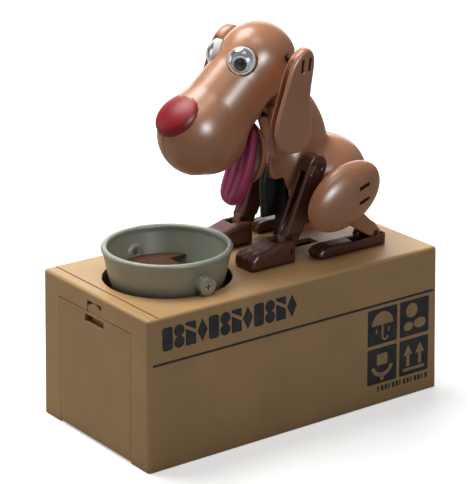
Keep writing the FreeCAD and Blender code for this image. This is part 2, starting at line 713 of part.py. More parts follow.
def make_gears():
    """The motor pinion and the two stepped wheels, each with teeth where it meets its neighbour."""
    mesh = value("sector_mesh_angle")
    middle = value("middle_mesh_angle")
    motor = value("motor_mesh_angle")
    loose = "shaft_radius + running_gap"
    gap = mesh_gap(mesh, "small_teeth")
    low = "-arm_half_width - 0.4"
    small = wheel("second_small", SECOND_GEAR, "sector_module", "small_teeth", gap, low, "4")
    large = wheel("second_large", SECOND_GEAR, "middle_module", "middle_teeth", middle, "4", "7.6")
    bore = rod("second_bore", *SECOND_GEAR, "-6", "12", loose)
    piece("second_gear", cut("second_gear", fuse("second_solid", small, large), bore))
    gap = mesh_gap(middle, "small_teeth")
    small = wheel("first_small", FIRST_GEAR, "middle_module", "small_teeth", gap, "3.6", "9")
    large = wheel("first_large", FIRST_GEAR, "fast_module", "fast_teeth", motor, "9", "12.2")
    bore = rod("first_bore", *FIRST_GEAR, "0", "14", loose)
    piece("first_gear", cut("first_gear", fuse("first_solid", small, large), bore))
    gap = mesh_gap(motor, "small_teeth")
    pinion = wheel("pinion_teeth", MOTOR_AXIS, "fast_module", "small_teeth", gap, "8.6", "12.6")
    spindle = rod("motor_spindle", *MOTOR_AXIS, "8.0", f"{FAR_FACE} + 2", "shaft_radius")
    piece("motor_pinion", fuse("motor_pinion", pinion, spindle))


def make_gearbox():
    """Two side plates with spacers between them, hung from the lid by two tabs."""
    outline_points = [(10, 30), (10, 62.5), (73.5, 62.5), (73.5, 22), (56, 21.2), (40, 27)]
    near_face = "plate_near + plate_thickness"
    near = plate("gearbox_near", outline_points, "plate_near", near_face)
    far = plate("gearbox_far", outline_points, "plate_far", FAR_FACE)
    spacers = []
    holes = []
    for index, (x, z) in enumerate(SPACERS):
        spacers.append(rod(f"spacer_{index}", x, z, near_face, "plate_far", "2.3"))
        holes.append(rod(f"spacer_hole_{index}", x, z, "plate_far - 9", f"{FAR_FACE} + 1", "0.9"))
    tabs = []
    for index, x in enumerate((24, 58)):
        low = (x - 5, "plate_near - 8", "box_height - wall - 2.2")
        tabs.append(block(f"gearbox_tab_{index}", low, (x + 5, near_face, "box_height - wall - 0.1")))
        high = (x + 5, near_face, "box_height - wall - 1")
        tabs.append(block(f"gearbox_web_{index}", (x - 5, "plate_near", "60"), high))
    axles = (
        ("second_shaft", SECOND_GEAR, "shaft_radius"),
        ("first_shaft", FIRST_GEAR, "shaft_radius"),
        ("arm_shaft", ARM_PIVOT, "shaft_radius + 0.5"),
    )
    near_seats = []
    far_seats = []
    shafts = []
    for name, axis, radius in axles:
        near_seats.append(rod(f"{name}_near_seat", *axis, "plate_near - 1", "0", radius))
        far_seats.append(rod(f"{name}_far_seat", *axis, "plate_far - 2.6", f"{FAR_FACE} + 1.6", radius))
        shafts.append(rod(name, *axis, "plate_near", FAR_FACE, radius))
    frame = fuse("gearbox_frame_solid", near, *spacers, *tabs)
    piece("gearbox_frame", cut("gearbox_frame", frame, *holes, *near_seats))
    motor_hole = rod("motor_hole", *MOTOR_AXIS, "plate_far - 2.6", f"{FAR_FACE} + 1.6", "2.6")
    piece("gearbox_cover", cut("gearbox_cover", far, *holes, *far_seats, motor_hole))
    piece("gear_shafts", group("gear_shafts", shafts))
    fixings = []
    for x, z in SPACERS:
        fixing = screw("gearbox_screw", "1.9", "0.9", "0.9", "9")
        fixings.append(place(fixing, x, FAR_FACE, z, Rotation(Vector(1, 0, 0), 90)))
    piece("gearbox_screws", group("gearbox_screws", fixings))


def make_motor():
    """A small can motor bolted to the far plate; its spindle turns with the pinion."""
    back = f"{FAR_FACE} + motor_length"
    can = rod("motor_can", *MOTOR_AXIS, FAR_FACE, back, "motor_radius")
    x, z = MOTOR_AXIS
    flats = block(
        "motor_flats", (f"{x} - 10", FAR_FACE, f"{z} - motor_flat"), (f"{x} + 10", back, f"{z} + motor_flat")
    )
    nose = rod("motor_nose", *MOTOR_AXIS, f"{FAR_FACE} - 1.2", FAR_FACE, "2.5")
    tail = rod("motor_tail", *MOTOR_AXIS, back, f"{back} + 1.4", "2.5")
    loose = "shaft_radius + running_gap"
    well = rod("motor_well", *MOTOR_AXIS, f"{FAR_FACE} - 3", f"{FAR_FACE} + 2.5", loose)
    piece("motor", cut("motor", fuse("motor_solid", common("motor_case", can, flats), nose, tail), well))


# --- electrics ------------------------------------------------------------------------


def lying_rod(name, x, y, z, radius, length):
    """A cylinder along +X."""
    thing = doc.addObject("Part::Cylinder", name)
    bind(thing, Radius=radius, Height=length)
    return place(thing, x, y, z, Rotation(Vector(0, 1, 0), 90))


def make_batteries():
    """Two cells side by side, head to tail, with a contact plate at each end."""
    cells = []
    contacts = []
    middle = "bay_height / 2"
    start = "bay_start + 2"
    for name, side in SIDES:
        y = f"{side} * (cell_radius + 0.5)"
        can = lying_rod(f"cell_body_{name}", start, y, middle, "cell_radius", "cell_length")
        nub_x = f"{start} - cell_nub_length" if side > 0 else f"{start} + cell_length"
        nub = lying_rod(f"cell_nub_{name}", nub_x, y, middle, "cell_nub_radius", "cell_nub_length")
        cells.append(fuse(f"cell_{name}", can, nub))
        for end in ("bay_start + 0.1", "bay_end - 0.5"):
            low = (end, f"{y} - 4.5", f"{middle} - 4.5")
            contacts.append(block("contact_plate", low, (f"{end} + 0.4", f"{y} + 4.5", f"{middle} + 4.5")))
    piece("batteries", group("batteries", cells))
    piece("battery_contacts", group("battery_contacts", contacts))


def make_battery_cover():
    """A sheet under the cells with a tongue that takes one screw."""
    lid = block(
        "cover_sheet",
        ("bay_start + 0.3", "-bay_half_width + 0.3", "0.1"),
        ("bay_end - 0.3", "bay_half_width - 0.3", "1.7"),
    )
    tongue = block("cover_tongue", ("bay_start - 11.4", "-5.8", "0.1"), ("bay_start + 1", "5.8", "1.1"))
    hole = post("cover_hole", "bay_start - 7", "0", "-1", "3", "screw_radius + 0.1")
    piece("battery_cover", cut("battery_cover", fuse("cover_solid", lid, tongue), hole))
    fixing = screw("cover_screw", "screw_head_radius", "0.9", "screw_radius", "5")
    piece("battery_cover_screw", place(fixing, "bay_start - 7", "0", "0.1"))


def make_board_and_switch():
    """The circuit board on the partition and the slide switch in the base."""
    board = block("board_sheet", ("-4.5", "-34", "30"), ("-3", "-12", "58"))
    chip = block("board_chip", ("-3", "-28", "38"), ("-1", "-20", "44"))
    capacitor = block("board_capacitor", ("-3", "-30", "48"), ("1.5", "-25", "53"))
    piece("circuit_board", fuse("circuit_board", board, chip, capacitor))
    knob = block("switch_knob", ("-1.9", "22.4", "0.1"), ("2.1", "25.6", "4.5"))
    flange = block("switch_flange", ("-4.4", "21.6", "2.2"), ("4.6", "26.4", "3.2"))
    piece("power_switch", fuse("power_switch", knob, flange))
    holder = block("switch_outer", ("-6.6", "20", "2.05"), ("14.6", "28", "8.4"))
    inside = block("switch_inner", ("-5", "21.3", "2"), ("13", "26.7", "6.6"))
    piece("switch_housing", cut("switch_housing", holder, inside))


# --- dog ------------------------------------------------------------------------------


def halves(name, solid):
    """Split a solid at the dog's middle plane into near (-Y) and far (+Y) shells."""
    for end, side in SIDES:
        low, high = ends(side, "0.03", "45")
        room = block(f"{name}_room_{end}", ("-80", low, "40"), ("100", high, "190"))
        piece(f"{name}_{end}", common(f"{name}_{end}", solid, room))


def trunk_solid(name, less):
    """Trunk, chest and neck as one form, shrunk all round by an amount."""
    parts = []
    for part, lean in (("trunk", 0.0), ("chest", 0.0), ("neck", value("neck_lean"))):
        centre = (f"{part}_x", "0", f"{part}_z")
        if part == "neck":
            centre = ("neck_base_x", "0", "neck_base_z")
        parts.append(egg(f"{name}_{part}", centre, [f"{part}_r{axis} - {less}" for axis in "xyz"], lean))
    return fuse(name, *parts)


def make_trunk():
    """The hollow trunk in two halves, open under the belly, with bosses round its pins."""
    shell = cut("trunk_shell", trunk_solid("trunk_outer", "0"), trunk_solid("trunk_inner", "shell"))
    belly_points = [(14, 70), (14, 96), (19, 99), (34, 99), (50, 80), (50, 70)]
    belly = plate("trunk_belly", belly_points, "-6.4", "6.4")
    hub = "pin_radius + 1.7"
    loose = "pin_radius + running_gap"
    shoulder = ("shoulder_x", "shoulder_z")
    neck = ("neck_x", "neck_z")
    hip = ("hip_x", "hip_z")
    fork = ("fork_x", "fork_z")
    bosses = [
        rod("shoulder_boss", *shoulder, "-9.5", "9.5", hub),
        rod("neck_boss", *neck, "-6.5", "6.5", hub),
        rod("hip_boss", *hip, "-18", "18", hub),
        rod("fork_cheek_near", *fork, "-8.6", "-6.6", "3"),
        rod("fork_cheek_far", *fork, "6.6", "8.6", "3"),
    ]
    bores = [
        rod("shoulder_bore", *shoulder, "-30", "30", loose),
        rod("neck_bore", *neck, "-30", "30", loose),
        rod("hip_bore", *hip, "-30", "30", "pin_radius"),
        rod("fork_pin_bore", *fork, "-10", "10", "pin_radius - 0.1"),
    ]
    solid = fuse("trunk_solid", cut("trunk_open", shell, belly), *bosses)
    halves("body", cut("trunk_bored", solid, *bores))
    piece("hip_pin", rod("hip_pin", *hip, "-26", "26", "pin_radius"))
    piece("fork_pin", rod("fork_pin", *fork, "-8.4", "8.4", "pin_radius - 0.1"))


def head_solid(name, less):
    """A slim capsule from the crown down to the muzzle, shrunk all round by an amount."""
    run = value("crown_x") - value("muzzle_x")
    rise = value("crown_z") - value("muzzle_z")
    tilt = math.degrees(math.atan2(run, rise))
    parts = []
    rings = []
    for part in ("muzzle", "crown"):
        radius = f"({part}_radius - {less})"
        slim = f"{radius} * head_slimness"
        centre = (f"{part}_x", "0", f"{part}_z")
        parts.append(egg(f"{name}_{part}", centre, (radius, slim, radius), tilt))
        ring = doc.addObject("Part::Ellipse", f"{name}_{part}_ring")
        bind(ring, MajorRadius=radius, MinorRadius=slim)
        rings.append(place(ring, *centre, Rotation(Vector(0, 1, 0), tilt)))
    bridge = doc.addObject("Part::Loft", f"{name}_bridge")
    bridge.Sections = rings
    bridge.Solid = True
    return fuse(name, *parts, bridge)


def make_head():
    """The hollow head in two halves, open under the chin and at the nape, with its nose and pins."""
    shell = cut("head_shell", head_solid("head_outer", "0"), head_solid("head_inner", "shell"))
    mouth_points = [(-9, 98), (-7, 109), (-3.7, 117.2), (3.1, 127), (10, 133), (40, 133), (40, 98)]
    mouth = plate("head_mouth", mouth_points, "-30", "30")
    nape = plate("head_nape", [(3, 127), (4, 149), (12, 155), (40, 155), (40, 119)], "-11", "11")
    neck = ("neck_x", "neck_z")
    jaw = ("jaw_x", "jaw_z")
    bosses = []
    bores = [
        rod("head_neck_bore", *neck, "-14", "14", "pin_radius"),
        rod("head_jaw_bore", *jaw, "-11.5", "11.5", "0.9"),
    ]
    for name, side in SIDES:
        for part, axis, reach, radius in (("neck", neck, (7.2, 15), "3"), ("jaw", jaw, (8.8, 14), "2.6")):
            bar = rod(f"{part}_socket_bar_{name}", *axis, *ends(side, *reach), radius)
            inside = head_solid(f"{part}_room_{name}", "0.5")
            bosses.append(common(f"{part}_socket_{name}", inside, bar))
        bores.append(rod(f"head_ear_bore_{name}", "ear_x", "ear_z", *ends(side, 12, 24), "pin_radius"))
    seat = ball("nose_seat", ("nose_x", "0", "nose_z"), "nose_radius + 0.02")
    eye_rooms = [eye_part(f"eye_room_{name}", side, -2.4, 6, "eye_radius + 0.05") for name, side in SIDES]
    solid = fuse("head_solid_all", cut("head_open", shell, mouth, nape), *bosses)
    halves("head", cut("head_bored", solid, seat, *eye_rooms, *bores))
    plump = ball("nose_ball", ("nose_x", "0", "nose_z"), "nose_radius")
    piece("nose", cut("nose", plump, head_solid("nose_room", "shell + 0.4")))
    piece("neck_pin", rod("neck_pin", *neck, "-12", "12", "pin_radius"))
    piece("jaw_pin", rod("jaw_pin", *jaw, "-11", "11", "0.9"))


def eye_centre(side):
    return Vector(value("eye_x"), side * value("eye_y"), value("eye_z"))


def eye_rotation(side):
    """Turn +Z to the direction that an eye looks."""
    turn = math.radians(value("eye_turn"))
    lift = math.radians(value("eye_lift"))
    flat = math.cos(lift)
    sight = Vector(-math.cos(turn) * flat, side * math.sin(turn) * flat, math.sin(lift))
    return Rotation(Vector(0, 0, 1), sight), sight


def eye_part(name, side, low, high, radius, sideways=0.0):
    """A disc on an eye's axis between two depths, or beside the axis."""
    rotation, sight = eye_rotation(side)
    thing = doc.addObject("Part::Cylinder", name)
    bind(thing, Radius=radius, Height=str(high - low))
    down = sight.cross(Vector(0, 1, 0)).normalize()
    if down.z > 0:
        down = down * -1
    thing.Placement = Placement(eye_centre(side) + sight * low + down * sideways, rotation)
    return thing


def make_eyes():
    """Cups with a clear dome over each and a loose black disc inside."""
    rise = "2.6"
    curve = f"(eye_radius ^ 2 + {rise} ^ 2) / (2 * {rise})"
    rim = 0.8
    cups = []
    domes = []
    for name, side in SIDES:
        cup = eye_part(f"cup_{name}", side, -2.4, rim, "eye_radius")
        well = eye_part(f"cup_well_{name}", side, -0.2, 2, "eye_radius - 0.7")
        cups.append(cut(f"eye_cup_{name}", cup, well))
        rotation, sight = eye_rotation(side)
        centre = eye_centre(side) + sight * (rim + value(rise) - value(curve))
        skins = []
        for skin, less in (("outer", "0"), ("inner", "0.6")):
            sphere = doc.addObject("Part::Sphere", f"dome_{skin}_{name}")
            bind(sphere, Radius=f"{curve} - {less}")
            sphere.Placement = Placement(centre, rotation)
            skins.append(sphere)
        room = eye_part(f"dome_room_{name}", side, rim + 0.02, 6, "eye_radius")
        domes.append(cut(f"eye_dome_{name}", common(f"dome_cap_{name}", skins[0], room), skins[1]))
        piece(f"pupil_{name}", eye_part(f"pupil_{name}", side, 0.1, 0.7, "eye_radius - 3.1", 1.7))
    piece("eye_cups", group("eye_cups", cups))
    piece("eye_domes", group("eye_domes", domes))


def make_ears():
    """Long lop ears: hollow shells open towards the head, hung on a pin at the top."""
    shape = [
        (13.0, 161.2), (17.6, 156.5), (15.6, 140), (16.6, 127), (14.0, 119.4), (7.0, 117.0), (-0.6, 120.4),
        (-3.6, 128), (0.4, 142), (6.0, 156),
    ]
    hollow = [
        (10.6, 148.5), (13.0, 145), (12.8, 138), (13.4, 127), (12.0, 122.4), (7.4, 120.2), (2.0, 122.4),
        (0.2, 128), (4.0, 140),
    ]
    pins = []
    for name, side in SIDES:
        outer = side * value("ear_outer")
        blank = curved_plate(f"ear_blank_{name}", shape, *ends(side, "ear_inner", "ear_outer"))
        rims = [edge for edge in blank.Shape.Edges if abs(edge.BoundBox.Center.y - outer) < 0.1]
        rounded = doc.addObject("Part::Feature", f"ear_rounded_{name}")
        rounded.Shape = blank.Shape.makeFillet(2.2, rims)
        cavity = curved_plate(f"ear_cavity_{name}", hollow, *ends(side, "ear_inner - 1", "ear_outer - 1.8"))
        bore_ends = ends(side, "19", "ear_outer - 2.2")
        bore = rod(f"ear_bore_{name}", "ear_x", "ear_z", *bore_ends, "pin_radius + running_gap")
        piece(f"ear_{name}", cut(f"ear_{name}", rounded, cavity, bore))
        pin_ends = ends(side, "12", "ear_outer - 2.5")
        pins.append(rod(f"ear_pin_{name}", "ear_x", "ear_z", *pin_ends, "pin_radius"))
    piece("ear_pins", group("ear_pins", pins))


def make_jaw():
    """A spoon-shaped lower jaw on its pin, and the tongue that lies in it."""
    outer = egg("jaw_outer", ("1.6", "0", "113"), ("9.6", "11", "15"), -8)
    inner = egg("jaw_inner", ("1.6", "0", "113"), ("8.2", "9.6", "13.6"), -8)
    front = plate("jaw_front", [(-20, 94), (-20, 135), (3.6, 135), (5.6, 117), (2.4, 94)], "-20", "20")
    lug_points = [(3.9, 129), (5, 132.4), (7.2, 132.2), (9.8, 120), (7.4, 118)]
    lugs = [plate(f"jaw_lug_{name}", lug_points, *ends(side, 6.4, 8.4)) for name, side in SIDES]
    solid = fuse("jaw_solid", cut("jaw_shell", outer, inner, front), *lugs)
    piece("jaw", cut("jaw", solid, rod("jaw_bore", "jaw_x", "jaw_z", "-12", "12", "0.9 + running_gap")))
    profile = [
        (4.6, 123.6), (5.2, 117), (3.5, 107), (1.0, 98), (-1.0, 90.6), (-5.6, 89.8), (-7.2, 94), (-3.8, 103),
        (-0.8, 112), (0.8, 119), (2.5, 123.6),
    ]
    slab = curved_plate("tongue_slab", profile, "-7.4", "7.4")
    groove = curved_plate("tongue_groove", [(x - 3.4, z) for x, z in profile], "-0.8", "0.8")
    piece("tongue", cut("tongue", slab, groove))


def capsule_outline(start, end, start_half, end_half, steps=8):
    """A long outline with round ends between two points of the XZ plane."""
    angle = math.atan2(end[1] - start[1], end[0] - start[0])
    quarter = math.pi / 2
    points = []
    for centre, half, first in ((end, end_half, angle - quarter), (start, start_half, angle + quarter)):
        for step in range(steps + 1):
            turn = first + math.pi * step / steps
            points.append((centre[0] + half * math.cos(turn), centre[1] + half * math.sin(turn)))
    return points


def make_forelegs():
    """Channel-shaped forelegs, open to the front, from the paws to the shoulder pin."""
    foot = (value("paw_x"), value("paw_z"))
    top = (value("shoulder_x") - 0.6, value("shoulder_z") + 0.4)
    leg = capsule_outline(foot, top, value("foreleg_low_half"), value("foreleg_top_half"))
    hollow = capsule_outline((foot[0] - 4.2, foot[1] + 11), (top[0] - 8.2, top[1] - 8), 4.6, 5.2)
    for name, side in SIDES:
        low, high = ends(side, "foreleg_inner", "foreleg_outer")
        blank = plate(f"foreleg_blank_{name}", leg, low, high)
        groove = plate(f"foreleg_groove_{name}", hollow, low + 1.5, high - 1.5)
        tools = [groove]
        for y_from, y_to in ((low - 1, low + 1), (high - 1, high + 1)):
            corner = ("paw_x - 8", y_from, "paw_z - 8")
            tools.append(block(f"foreleg_trim_{name}", corner, ("paw_x + 8", y_to, "paw_z + 6")))
        through = (low - 1, high + 1)
        tools.append(rod(f"foreleg_paw_bore_{name}", "paw_x", "paw_z", *through, "pin_radius + running_gap"))
        tools.append(rod(f"foreleg_top_bore_{name}", "shoulder_x", "shoulder_z", *through, "pin_radius"))
        piece(f"foreleg_{name}", cut(f"foreleg_{name}", blank, *tools))
    reach = ("-foreleg_outer + 0.6", "foreleg_outer - 0.6")
    piece("shoulder_pin", rod("shoulder_pin", "shoulder_x", "shoulder_z", *reach, "pin_radius"))


def rounded_paw(name, front, back, low, high, top, toe_drop):
    """A shoe-like paw: round toes in front, a boxy back, toe grooves cut in."""
    toe = top - toe_drop
    sole = value("box_height") + 0.02
    profile = [
        (front + 1.6, sole), (back, sole), (back, top), (back - 9, top), (front + 8, toe),
        (front + 3, toe - 0.8), (front + 0.4, sole + (toe - sole) * 0.55), (front, sole + 1.4),
    ]
    grooves = []
    for index in (1, 2):
        y = low + (high - low) * index / 3
        corner = (front - 1, y - 0.35, sole - 1)
        grooves.append(block(f"{name}_groove_{index}", corner, (front + 4.5, y + 0.35, toe - 1)))
    return cut(f"{name}_toes", plate(f"{name}_blank", profile, low, high), *grooves)


def make_front_paws():
    """Front paws fixed to the lid, each with a pin for its foreleg."""
    front, back, top = value("paw_front"), value("paw_back"), value("paw_top")
    leg_room = [(5.6, 66.7), (17.6, 66.7), (31, 82), (31, 90), (5.6, 90)]
    pins = []
    for name, side in SIDES:
        sides = ends(side, "paw_inner", "paw_outer")
        paw = rounded_paw(f"front_paw_{name}", front, back, *sides, top, 2.6)
        room = plate(f"paw_room_{name}", leg_room, *ends(side, "foreleg_inner + 0.6", "foreleg_outer - 0.6"))
        bore_ends = ends(side, "foreleg_inner - 3", "paw_outer + 1")
        bore = rod(f"paw_bore_{name}", "paw_x", "paw_z", *bore_ends, "pin_radius")
        piece(f"front_paw_{name}", cut(f"front_paw_{name}", paw, room, bore))
        pin_ends = ends(side, "foreleg_inner - 2.8", "paw_outer")
        pins.append(rod(f"paw_pin_{name}", "paw_x", "paw_z", *pin_ends, "pin_radius"))
    piece("paw_pins", group("paw_pins", pins))


def make_thighs():
    """Egg-shaped haunches with a shank that ends in the heel pin."""
    hip = ("hip_x", "hip_z")
    heel = ("heel_x", "heel_z")
    shank_points = capsule_outline([value(text) for text in hip], [value(text) for text in heel], 3.6, 2.8)
    slot_lean = Rotation(Vector(0, 1, 0), -16)
    pins = []
    for name, side in SIDES:
        centre = ("thigh_x", f"{side} * thigh_y", "thigh_z")
        haunch = egg(f"haunch_{name}", centre, ("thigh_rx", "thigh_ry", "thigh_rz"), 8)
        low, high = ends(side, "thigh_inner", "40")
        room = block(f"haunch_room_{name}", ("-20", low, "60"), ("90", high, "140"))
        shank = plate(f"shank_{name}", shank_points, *ends(side, "thigh_inner", "thigh_inner + 3.6"))
        solid = fuse(f"thigh_solid_{name}", common(f"haunch_cut_{name}", haunch, room), shank)
        through = ends(side, "19", "26.4")
        tools = [
            rod(f"hip_hole_{name}", *hip, *through, "pin_radius + running_gap"),
            rod(f"heel_hole_{name}", *heel, *through, "pin_radius"),
        ]
        for drop in (0, 6):
            slot = block(f"haunch_slot_{name}", ("0", "0", "0"), ("5.2", "6", "1"))
            depth = f"{side} * (thigh_y + 4.9) - 3"
            tools.append(place(slot, "thigh_x + 11.8", depth, f"thigh_z + 1 - {drop}", slot_lean))
        piece(f"thigh_{name}", cut(f"thigh_{name}", solid, *tools))
        pin_ends = ends(side, "thigh_inner - 2", "thigh_inner + 3.6")
        pins.append(rod(f"heel_pin_{name}", *heel, *pin_ends, "pin_radius"))
    piece("heel_pins", group("heel_pins", pins))


def make_rear_feet():
    """Long low shoes with toes in front and an open cup behind for the heel."""
    front, back, top = value("foot_front"), value("foot_back"), value("foot_top")
    cheek_points = [(48, 66.02), (60.4, 66.02), (60.4, 73.4), (58.4, 75.6), (52.5, 75.6), (49, 73)]
    room_points = [(42, 67.4), (59.2, 67.4), (59.2, 90), (42, 90)]
    for name, side in SIDES:
        label = f"rear_foot_{name}"
        foot = rounded_paw(label, front, back, *ends(side, "foot_inner", "foot_outer"), top, 0.0)
        cheek = plate(f"heel_cheek_{name}", cheek_points, *ends(side, "foot_inner", "thigh_inner - 0.4"))
        room = plate(f"heel_room_{name}", room_points, *ends(side, "thigh_inner - 0.4", "thigh_inner + 4"))
        cup_ends = ends(side, "foot_inner - 1", "22")
        cup = rod(f"heel_cup_{name}", "heel_x", "heel_z", *cup_ends, "pin_radius + 1")
        piece(label, cut(label, fuse(f"{label}_solid", foot, cheek), room, cup))


# --- build, check and write -----------------------------------------------------------


def move_aside(thing):
    """Shift a piece of the dog from the box's middle plane to the dog's own."""
    earlier = [text for path, text in thing.ExpressionEngine if path.lstrip(".") == "Placement.Base.y"]
    shift = "Sizes.dog_y" if not earlier else f"({earlier[0]}) + Sizes.dog_y"
    combined = thing.isDerivedFrom("Part::Boolean") or thing.TypeId in ("Part::Compound", "Part::MultiFuse")
    if earlier or combined:
        thing.setExpression("Placement.Base.y", shift)
    else:
        thing.Placement.Base.y += value("dog_y")


def check_document():
    """Stop if any object failed or any piece is not sound."""
    for thing in doc.Objects:
        for word in ("Invalid", "Error"):
            if word in thing.State:
                raise RuntimeError(f"{thing.Name} ({thing.Label}) is {word}")
    for thing in PIECES:
        if thing.Shape.isNull() or not thing.Shape.isValid():
            raise RuntimeError(f"{thing.Label} has no sound shape")
        if not thing.Shape.Solids:
            raise RuntimeError(f"{thing.Label} has no solid")


make_case_shell()
make_coin_door()
make_door_latch()
make_base_plate()
make_case_screws()
make_partition()
make_bowl()
make_coin_tray()
make_bowl_brackets()
make_bowl_lever()
make_drive_arm()
make_gears()
make_gearbox()
make_motor()
make_batteries()
make_battery_cover()
make_board_and_switch()
box_pieces = len(PIECES)
make_trunk()
make_head()
make_eyes()
make_ears()
make_jaw()
make_forelegs()
make_front_paws()
make_thighs()
make_rear_feet()
for dog_piece in PIECES[box_pieces:]:
    move_aside(dog_piece)

doc.recompute()
check_document()
os.makedirs("parts", exist_ok=True)
for kept in PIECES:
    kept.Shape.exportStep(f"parts/{kept.Label}.step")
    print(kept.Label, len(kept.Shape.Solids), round(kept.Shape.Volume, 1))
print(len(PIECES), "pieces")
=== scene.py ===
import json
import math

import bpy
import numpy as np
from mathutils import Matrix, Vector


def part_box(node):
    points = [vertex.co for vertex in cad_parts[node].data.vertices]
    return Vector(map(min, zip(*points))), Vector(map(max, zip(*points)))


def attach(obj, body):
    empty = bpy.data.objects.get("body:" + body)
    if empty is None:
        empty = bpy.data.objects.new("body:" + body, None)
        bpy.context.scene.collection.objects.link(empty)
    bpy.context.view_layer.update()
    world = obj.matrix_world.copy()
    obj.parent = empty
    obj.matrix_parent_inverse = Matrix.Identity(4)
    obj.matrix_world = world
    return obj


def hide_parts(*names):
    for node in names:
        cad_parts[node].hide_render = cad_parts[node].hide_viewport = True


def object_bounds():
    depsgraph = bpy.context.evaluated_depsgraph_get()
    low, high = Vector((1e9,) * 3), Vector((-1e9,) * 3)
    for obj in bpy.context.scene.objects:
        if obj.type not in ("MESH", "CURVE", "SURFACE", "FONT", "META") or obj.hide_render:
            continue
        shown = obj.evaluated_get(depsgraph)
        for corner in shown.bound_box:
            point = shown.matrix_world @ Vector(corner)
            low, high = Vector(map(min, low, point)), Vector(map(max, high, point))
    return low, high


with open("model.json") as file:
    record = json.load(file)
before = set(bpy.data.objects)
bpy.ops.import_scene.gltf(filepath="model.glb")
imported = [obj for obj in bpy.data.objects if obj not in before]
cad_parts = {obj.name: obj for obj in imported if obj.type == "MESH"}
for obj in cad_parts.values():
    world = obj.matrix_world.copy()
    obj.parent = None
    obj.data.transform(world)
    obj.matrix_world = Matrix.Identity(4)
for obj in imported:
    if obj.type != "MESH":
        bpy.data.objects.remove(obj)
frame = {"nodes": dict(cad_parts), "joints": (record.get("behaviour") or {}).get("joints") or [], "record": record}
CAD_LOW, CAD_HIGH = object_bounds()

# Shapes are written in millimetres, in the frame of the bank: origin under the middle of the box,
# +Z up, the dog looks along -X, the printed side faces -Y. Meshes are made in metres.
MM = 0.001
JOINTS = {joint["name"]: joint for joint in frame["joints"]}


# --- places taken from the frame ------------------------------------------------------


def pivot(joint):
    """The place of a joint's axis."""
    return np.array(JOINTS[joint]["pos_m"]) / MM


def corners(node):
    """Lowest and highest corner of a CAD node."""
    return tuple(np.array(corner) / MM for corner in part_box(node))


def middle(node):
    """The middle of a CAD node's box."""
    return sum(corners(node)) / 2


def side_faces(node, side):
    """Where a node of the near (-1) or far (1) side ends along Y: its outer face, then its inner face."""
    low, high = corners(node)
    return (low[1], high[1]) if side < 0 else (high[1], low[1])


def off(centre, x=0.0, z=0.0):
    """A point beside another one, in the side view."""
    return np.array([centre[0] + x, centre[1], centre[2] + z])


SHOULDER = pivot("body_bow")
HIP = pivot("thigh_swing")
NECK = pivot("head_nod")
JAW = pivot("jaw_flap")
PAW = pivot("foreleg_swing")
MID_Y = SHOULDER[1]
CROWN = off(NECK, x=-7.7, z=8.4)
MUZZLE = off(CROWN, x=-29.3, z=-26.0)
LID = corners("case_shell")[1][2]
SIDES = {"near": -1, "far": 1}


# --- shapes as signed distances -------------------------------------------------------


def soft_min(a, b, blend):
    """The smaller of two distances, rounded off where they are nearly equal."""
    near = np.maximum(blend - np.abs(a - b), 0) / blend
    return np.minimum(a, b) - near * near * blend / 4


def join(blend, *shapes):
    """Union of shapes with a fillet."""
    def shape(points):
        result = shapes[0](points)
        for other in shapes[1:]:
            result = soft_min(result, other(points), blend)
        return result
    return shape


def meet(blend, *shapes):
    """What shapes share, with rounded edges."""
    def shape(points):
        result = shapes[0](points)
        for other in shapes[1:]:
            result = -soft_min(-result, -other(points), blend)
        return result
    return shape


def cut(blend, base, *tools):
    """A shape less its tools, with rounded edges."""
    def shape(points):
        result = base(points)
        for tool in tools:
            result = -soft_min(-result, tool(points), blend)
        return result
    return shape


def hollow(wall, solid, blend=0.4):
    """The skin of a shape, of one thickness."""
    def shape(points):
        depth = solid(points)
        return -soft_min(-depth, depth + wall, blend)
    return shape


def egg(centre, radii, lean=0.0):
    """An ellipsoid, leaning towards +X about Y."""
    radii = np.array(radii, float)
    def shape(points):
        local = leaned(points - centre, lean)
        ratio = np.linalg.norm(local / radii, axis=-1)
        slope = np.linalg.norm(local / radii ** 2, axis=-1)
        return ratio * (ratio - 1) / np.maximum(slope, 1e-6)
    return shape


def leaned(local, lean):
    """Offsets seen from axes that lean towards +X."""
    x, y, z = local[..., 0], local[..., 1], local[..., 2]
    c, s = math.cos(math.radians(lean)), math.sin(math.radians(lean))
    return np.stack([x * c - z * s, y, x * s + z * c], -1)


def taper(start, end, start_radius, end_radius, flat=1.0):
    """A capsule whose radius changes along it, flattened across Y."""
    start, end = np.array(start, float), np.array(end, float)
    scale = np.array([1, 1 / flat, 1])
    run = (end - start) * scale
    def shape(points):
        local = (points - start) * scale
        share = np.clip(local @ run / (run @ run), 0, 1)
        radius = start_radius + (end_radius - start_radius) * share
        return np.linalg.norm(local - share[..., None] * run, axis=-1) - radius
    return shape


def brick(low, high, lean=0.0):
    """A block between two corners, leaning about its own middle."""
    low, high = np.minimum(low, high), np.maximum(low, high)
    centre, half = (low + high) / 2, (high - low) / 2
    def shape(points):
        past = np.abs(leaned(points - centre, lean)) - half
        outside = np.linalg.norm(np.maximum(past, 0), axis=-1)
        return outside + np.minimum(past.max(-1), 0)
    return shape


def rod(centre, radius, y_from, y_to, blend=0.3):
    """A round bar along Y."""
    y_from, y_to = sorted((y_from, y_to))
    def shape(points):
        around = np.hypot(points[..., 0] - centre[0], points[..., 2] - centre[2]) - radius
        along = np.abs(points[..., 1] - (y_from + y_to) / 2) - (y_to - y_from) / 2
        return -soft_min(-around, -along, blend)
    return shape


